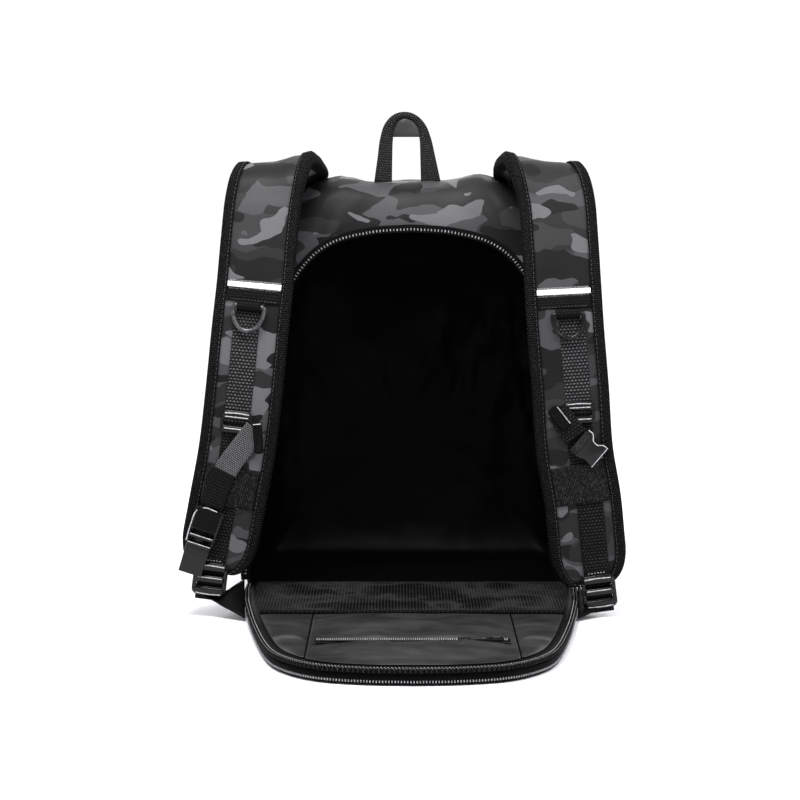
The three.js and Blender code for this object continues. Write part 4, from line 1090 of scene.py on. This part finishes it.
def build_bands(strap):
    side, name = strap.side, strap.name
    strip = side["strip"] * STRAP_HEIGHT
    section = ribbon_section(BAND_WIDTH, 0.0006, 0.0008)
    piece = sweep(f"reflective_tape_{name}", strap.run(strip, strip - 0.005, 4), section, REFLECTIVE)
    settle(piece, "reflective", f"reflective_strip_{name}")
    top = strip - 0.0053
    section = ribbon_section(BAND_WIDTH, 0.0012, 0.0006)
    piece = sweep(f"cross_webbing_{name}", strap.run(top, top - 0.013, 12), section, DARK_WEBBING)
    settle(piece, "webbing", f"cross_band_{name}")
    seam = BAND_WIDTH / 2 - 0.001
    for k, height in enumerate((top - 0.0015, top - 0.0115)):
        origin, across, _, out = strap.place(height, 0.0021)
        line = origin + across * np.linspace(-seam, seam, 30)[:, None]
        stitches(f"cross_stitches_{name}_{k}", line, out, BAND_STITCH, THREAD, "webbing")

    # Close tacks that hold the reflective tape's two edges
    for k, (height, length) in enumerate(((strip + 0.0011, 0.0018), (strip - 0.0062, 0.0022))):
        origin, *axes = strap.place(height, 0.0015)
        centres = origin + axes[0] * np.arange(-seam, seam, 0.0013)[:, None]
        row = block_row(f"tape_tacks_{name}_{k}", centres, axes, (0.0006, length, 0.0006), PALE_THREAD)
        settle(row, "webbing")

    # Elastic, raised where it crosses the webbing
    middle, half = side["elastic"] * STRAP_HEIGHT, ELASTIC_HEIGHT / 2
    section = ribbon_section(BAND_WIDTH, 0.0012, 0.0004, columns=24)
    section[:, 1] += np.exp(-((section[:, 0] - side["shift"]) / 0.0135) ** 6) * 0.0021
    piece = sweep(f"elastic_cloth_{name}", strap.run(middle + half, middle - half, 16), section, ELASTIC)
    settle(piece, "elastic", f"elastic_band_{name}")


def build_ring(strap):
    name = strap.name
    origin, across, along, out = strap.place(strap.ring, RING_LIFT, strap.side["ring_shift"])
    # The ring's middle line: a straight bar, two tight corners and a wide arch
    half, depth, bend = (RING_WIDTH - RING_WIRE) / 2, RING_DEPTH - RING_WIRE, RING_CORNER
    bar = [(x, 0.0) for x in np.linspace(bend - half, half - bend, 8)]
    turns = np.linspace(0.3, 1.5, 4)
    corner = [(half - bend + bend * math.sin(t), bend - bend * math.cos(t)) for t in turns]
    turns = np.linspace(0.05, math.pi - 0.05, 40)
    arch = [(half * math.cos(t), bend + (depth - bend) * math.sin(t)) for t in turns]
    path = np.array(bar + corner + arch + [(-x, y) for x, y in corner[::-1]])
    tangent = unit(np.roll(path, -1, axis=0) - np.roll(path, 1, axis=0))
    centres = origin + path[:, :1] * across + path[:, 1:] * along
    sides = -tangent[:, 1:] * across + tangent[:, :1] * along
    section = round_section(RING_WIRE / 2, 16)
    rings = centres[:, None] + section[:, :1] * sides[:, None] + section[:, 1:] * out
    rows, columns = rings.shape[:2]
    last = (rows - 1) * columns
    nexts = [(j, (j + 1) % columns) for j in range(columns)]
    faces = grid_faces(rows, columns, True) + [(last + j, last + k, k, j) for j, k in nexts]
    look = RING if name == "left" else PLASTIC
    ring = new_object(f"ring_{name}", rings.reshape(-1, 3), faces, None, look)
    settle(ring, "ring", f"d_ring_{name}", body=f"ring_{name}")

    # Keeper: webbing that leaves the strap, turns round the bar and comes back
    leg = [(-0.0042, -RING_LIFT + 0.0013), (-0.0038, -RING_LIFT / 2)]
    turns = np.linspace(0.1, math.pi - 0.1, 14)
    turn = [(-KEEPER_TURN * math.cos(t), KEEPER_TURN * math.sin(t)) for t in turns]
    path = np.array(leg + turn + [(-x, y) for x, y in leg[::-1]])
    position = origin + path[:, :1] * along + path[:, 1:] * out
    outs = unit(np.cross(across, unit(np.gradient(position, axis=0))))
    section = ribbon_section(0.023, 0.0011, -0.0005)
    keeper = sweep(f"keeper_webbing_{name}", (position, across, outs), section, DARK_WEBBING)
    settle(keeper, "webbing", f"ring_keeper_{name}")


def barred_buckle(name, place, outline, holes, bars, bar_form, highlight_lines):
    """A slotted frame with raised bars over the webbing, with pale wires along its edges as painted
    highlights.
    """
    plate = shape_plate(name + "_plate", outline, 0.0030, place, PLASTIC, 0.0012, holes)
    lift, thickness, bevel = bar_form
    bars = [shape_plate(f"{name}_bar_{k}", bar, thickness, lifted(place, lift), PLASTIC, bevel)
            for k, bar in enumerate(bars)]
    highlight_lines = [glint_wire(f"{name}_rim_{k}", points, place, above) for k, (above, points) in enumerate(highlight_lines)]
    return join(name, [plate, *bars, *highlight_lines])


def build_webbing(strap):
    side, name = strap.side, strap.name
    glide = side["glide"] * STRAP_HEIGHT
    bottom = side["lock"] * STRAP_HEIGHT + 0.013
    heights = np.concatenate([
        np.linspace(strap.ring - 0.0046, glide + 0.009, 60),
        np.linspace(glide + 0.0085, glide - 0.0085, 30),
        np.linspace(glide - 0.009, bottom, 90),
    ])
    lift = 0.0004 + 0.0022 * np.clip((bottom + 0.022 - heights) / 0.012, 0, 1)
    lift = lift + 0.0003 * np.sin(heights / 0.012)
    position, _, across, out = strap.frames(strap.at_height(heights))
    centre = position + out * (FACING + lift)[:, None] + across * side["shift"]
    section = ribbon_section(WEBBING_WIDTH, WEBBING_THICKNESS)
    # Below the glide the webbing takes the darker copy, painted shade
    for part, rows, look in (("upper", slice(0, 76), WEBBING), ("lower", slice(75, None), SHADED_WEBBING)):
        frames = (centre[rows], across[rows], out[rows])
        piece = sweep(f"strap_webbing_{part}_{name}", frames, section, look)
        settle(piece, "webbing", f"chest_webbing_{name}")

    bars = [rounded_outline(0.028, 0.0066, 0.0030, (0, y)) for y in (-0.0068, 0.0072)]
    # Pale wires along the glide's bars, painted highlights
    highlight_lines = (
        (0.0043, [(-0.0115, -0.0078), (0.0, -0.0084), (0.0115, -0.0078)]),
        (0.0042, [(-0.0110, -0.0046), (0.0110, -0.0046)]),
        (0.0044, [(-0.0110, 0.0066), (0.0110, 0.0066)]),
    )
    slider = barred_buckle(
        f"glide_{name}", strap.place(glide, 0.0024, side["shift"]), rounded_outline(0.030, 0.022, 0.006),
        [rounded_outline(0.0240, 0.0058, 0.002, (0, 0.0006))], bars, (0.0010, 0.0034, 0.0016), highlight_lines)
    settle(slider, "plastic", f"sternum_slider_{name}")


def turned_to(outs, front):
    return outs * np.sign(outs @ front)[:, None]


def socket_half(place, length, width):
    """Socket of the chest buckle: webbing over a bar, two slots, then the smooth mouth."""
    w = width / 2
    outline = [(-w, 0.001), (-w, 0.46 * length), (-w * 0.86, 0.52 * length), (-w * 0.80, length)]
    outline += [(-x, y) for x, y in outline[::-1]]
    holes = [rounded_outline(width * 0.8, 0.0042, 0.001, (0, y)) for y in (0.0255, 0.0335)]
    plate = shape_plate("socket_plate", outline, BUCKLE_THICKNESS - 0.001, place, PLASTIC, 0.0011, holes)
    # Webbing over the socket's bar, in the darker copy of the webbing: painted shade
    cover = rounded_outline(width * 0.84, 0.021, 0.002, (0, 0.0118))
    cover = shape_plate("socket_webbing", cover, 0.0016, lifted(place, 0.0046), SHADED_WEBBING, 0.0006)
    bars = [rounded_outline(width * 0.86, 0.0036, 0.0014, (0, y)) for y in (0.0295, 0.0375)]
    bars = [shape_plate("socket_bar", bar, 0.0026, lifted(place, 0.0036), PLASTIC, 0.0011) for bar in bars]
    # Pale wires on the socket's side and bars, painted highlights
    rim = [(-w * 0.92, 0.036), (-w * 0.95, 0.02), (-w * 0.85, 0.006), (-w * 0.3, 0.001), (w * 0.5, 0.0015)]
    rim = glint_wire("socket_highlight", rim, place, 0.0056, 0.0006)
    bar_highlights = [glint_wire("socket_bar_highlight", [(-w * 0.8, y), (w * 0.8, y)], place, 0.0062, 0.0004)
             for y in (0.0285, 0.0365)]
    return join("sternum_socket_left", [plate, cover, *bars, rim, *bar_highlights])


def plug_half(place, length, width):
    """Plug of the chest buckle: a waisted body with a straight end."""
    w = width / 2
    curve = [(w, 0.0005), (w, 0.22 * length), (w * 0.62, 0.42 * length), (w * 0.60, 0.62 * length),
             (w * 0.84, 0.78 * length), (w * 0.86, length - 0.0005)]
    path, _ = catmull(curve, 6, 0.5)
    outline = [*path, (-w * 0.86, length - 0.0005), (-w * 0.8, 0.6 * length), (-w, 0.3 * length)]
    outline.append((-w, 0.0005))
    plate = shape_plate("plug_plate", outline, BUCKLE_THICKNESS - 0.001, place, PLASTIC, 0.0011)
    origin, *axes = lifted(place, 0.0048)
    origin = origin + axes[1] * 0.003
    band = fold_block("plug_band", (origin, *axes), (width * 0.94, 0.0075, 0.0034), WEBBING)
    # Pale wires on the plug's curved side and end, painted highlights
    rim = glint_wire("plug_highlight", curve, place, 0.0046, 0.00055)
    end_highlight = [(w * 0.84, length - 0.001), (-w * 0.84, length - 0.001)]
    end_highlight = glint_wire("plug_end_highlight", end_highlight, place, 0.0046)
    return join("sternum_plug_right", [plate, band, rim, end_highlight])


def build_sternum(strap):
    side, name = strap.side, strap.name
    origin = strap.place(side["glide"] * STRAP_HEIGHT, 0.0, side["shift"])[0]
    outwards = RIGHT * strap.sign

    def at(x, drop, lift):
        return origin + (outwards * x - UP * drop + FRONT * lift) * MM

    # Hanging webbing, light where it is pulled straight
    path, _ = catmull([at(*row) for row in side["sternum"]], 16, 0.5)
    tangent = unit(np.gradient(path, axis=0))
    across = unit(np.cross(tangent, FRONT))
    outs = turned_to(unit(np.cross(across, tangent)), FRONT)
    cut = len(path) * side["light"][0] // side["light"][1]
    # The right chest strap takes the darker copy of the webbing, painted shade
    look = TWILL if name == "left" else SHADED_WEBBING
    parts = [("twill", slice(0, cut + 1), 0.0225, look)]
    if cut + 2 < len(path):
        parts.append(("dark", slice(cut, None), 0.0228, DARK_WEBBING))
    for part, rows, width, look in parts:
        frames = (path[rows], across[rows], outs[rows])
        piece = sweep(f"sternum_{part}_{name}", frames, ribbon_section(width, WEBBING_THICKNESS), look)
        settle(piece, "webbing", f"sternum_webbing_{name}")

    x, drop, lift, to_x, to_drop, width = side["buckle"]
    start, end = at(x, drop, lift), at(to_x, to_drop, lift)
    length = np.linalg.norm(end - start)
    y_axis = (end - start) / length
    build_half = socket_half if name == "left" else plug_half
    buckle = build_half((start, np.cross(FRONT, y_axis), y_axis, FRONT), length, width * MM)
    settle(buckle, "plastic", f"sternum_buckle_{name}")

    # The webbing's folded end beside the glide
    *middle, width, length, turn = side["fold"]
    angle = math.radians(turn)
    x_axis = outwards * math.cos(angle) - UP * math.sin(angle)
    y_axis = -outwards * math.sin(angle) - UP * math.cos(angle)
    place = (at(*middle, 9.2), x_axis, y_axis, FRONT)
    body = fold_block(f"fold_body_{name}", place, (width * MM, length * MM, 0.0046), DARK_WEBBING)
    # A pale wire along the fold's lower edge, a painted highlight
    line = [(x * width * MM, -0.42 * length * MM) for x in (-0.4, 0.4)]
    rim = glint_wire(f"fold_rim_{name}", line, place, 0.0022)
    settle(join(f"sternum_fold_{name}", [body, rim]), "webbing")


def build_anchor(strap):
    side, name = strap.side, strap.name
    face, across, along, out = strap.place(side["lock"] * STRAP_HEIGHT, 0.0, side["shift"])
    holes = [rounded_outline(0.0250, 0.0038, 0.0015, (0, y)) for y in (-0.0060, 0.0052)]
    bars = ((-0.0120, 0.030, 0.0070), (-0.0004, 0.0285, 0.0072), (0.0115, 0.030, 0.0074))
    bars = [rounded_outline(width, height, height * 0.45, (0, y)) for y, width, height in bars]
    highlight_lines = (
        # Pale wires along the lock's bars, painted highlights
        (0.0049, [(-0.0125, -0.0135), (0.0, -0.0140), (0.0125, -0.0135)]),
        (0.0052, [(-0.0115, -0.0020), (0.0115, -0.0020)]),
        (0.0048, [(-0.0120, 0.0138), (0.0, 0.0144), (0.0120, 0.0138)]),
    )
    lock = barred_buckle(
        f"ladder_lock_body_{name}", (face + out * 0.0030, across, along, out),
        rounded_outline(0.033, 0.033, 0.006), holes, bars, (0.0008, 0.0042, 0.0019), highlight_lines)
    settle(lock, "plastic", f"ladder_lock_{name}")

    # Loose end of the webbing, flat below the lock's bars
    reaches = np.linspace(-0.0135, 0.0215, 24)
    lifts = np.interp(reaches, (-0.0135, 0.0150, 0.0215), (0.0006, 0.0010, -0.0010))
    position = face + reaches[:, None] * along + lifts[:, None] * out
    outs = turned_to(unit(np.cross(across, unit(np.gradient(position, axis=0)))), out)
    section = ribbon_section(WEBBING_WIDTH, 0.0014)
    piece = sweep(f"adjuster_cloth_{name}", (position, across, outs), section, DARK_WEBBING)
    settle(piece, "webbing", f"adjuster_webbing_{name}")

    # Pale tacks where the strap's webbing meets the lock
    line = face + np.linspace(-0.0105, 0.0105, 24)[:, None] * across - along * 0.0185 + out * 0.0048
    stitches(f"lock_tacks_{name}", line, out, LOCK_STITCH, PALE_THREAD, "webbing")

    # Wing: cloth between the panel's side and the loose end
    def edge(reach, height):
        half = float(np.interp(reach, *OPENING_CURVE[0][OPENING_SIDE, ::-1].T))
        return np.array([strap.sign * (half + 0.0006), HINGE_Y - reach, height])

    tip = face + along * 0.0155 - out * 0.0012
    rear = (edge(0.0215, 0.021), tip - across * WEBBING_WIDTH / 2)
    fore = (edge(0.118, 0.003), tip + across * WEBBING_WIDTH / 2)
    rings, face = [], []
    for t in np.linspace(0, 1, 14):
        a, b = (ends[0] + (ends[1] - ends[0]) * t for ends in (rear, fore))
        line = a + (b - a) * np.linspace(0, 1, 12)[:, None]
        line = line + UP * (noise(line, 0.012, 51) * 0.0008 * math.sin(math.pi * t))[:, None]
        line[:, 2] = np.maximum(line[:, 2], 0.001)
        face.append(line)
        rings.append(np.vstack([line, (line + unit(UP * (1 - t) - out * t) * 0.002)[::-1]]))
    wing = settle(closed_loft(f"anchor_cloth_{name}", rings, PANEL), "binding", f"anchor_wing_{name}")
    face = np.array(face)


# Stage, lights and camera

def aimed(made, at, aim):
    made.location = at
    made.rotation_euler = (Vector(aim) - Vector(at)).to_track_quat("-Z", "Y").to_euler()
    return made


def build_stage():
    look = Look("pale floor", 0.9)
    look.finish(look.ramp(look.object_noise(3, 1.0), [(0, 0.93), (1, 0.95)]), specular=0.0)
    reach = 40.0
    corners = [(x * reach, y * reach, 0.0) for x, y in ((-1, -1), (1, -1), (1, 1), (-1, 1))]
    new_object("floor", corners, [(0, 1, 2, 3)], None, look.material)

    # A white horizon under a sky that is bright above and behind, and dim in front
    world = bpy.data.worlds.new("studio")
    bpy.context.scene.world = world
    world.use_nodes = True
    nodes = Nodes(world.node_tree)
    aim = nodes.node("ShaderNodeTexCoord", ()).outputs["Generated"]
    _, depth, up = nodes.node("ShaderNodeSeparateXYZ", (aim,)).outputs
    lean = nodes.math("MULTIPLY_ADD", depth, 0.5, nodes.math("MULTIPLY", up, 0.6))
    sky = nodes.node("ShaderNodeMapRange", (lean, -0.5, 0.9, 0.12, 1.9)).outputs[0]
    raised = nodes.node("ShaderNodeMapRange", (up, 0.2, 0.36, 0.0, 1.0)).outputs[0]
    horizon = 1.03
    less = nodes.math("SUBTRACT", sky, horizon)
    backdrop = nodes.tree.nodes["Background"]
    backdrop.inputs["Color"].default_value = (1, 1, 1, 1)
    nodes.tree.links.new(nodes.math("MULTIPLY_ADD", raised, less, horizon), backdrop.inputs["Strength"])

    for name, at, aim, size, watts in (
        ("key", (-0.15, -0.62, 1.12), (0, -0.12, 0.38), 0.45, 15),
        ("fill", (0.7, -0.9, 1.1), (0, -0.1, 0.35), 0.4, 6),
    ):
        lamp = bpy.data.lights.new(name, "AREA")
        lamp.shape = "SQUARE"
        lamp.size = size
        lamp.energy = watts
        aimed(linked(name, lamp), at, aim)

    camera = bpy.data.cameras.new("camera")
    camera.lens = LENS_MM
    camera.sensor_width = SENSOR_MM
    bpy.context.scene.camera = aimed(linked("camera", camera), CAMERA_AT, CAMERA_AIM)
    bpy.context.scene.view_settings.view_transform = "Standard"


build_stage()
build_body()
build_zips()
build_panel()
build_pockets()
build_handle()
for side_values in SIDES:
    one = Strap(side_values)
    build_pad(one)
    build_bands(one)
    build_ring(one)
    build_webbing(one)
    build_sternum(one)
    build_anchor(one)
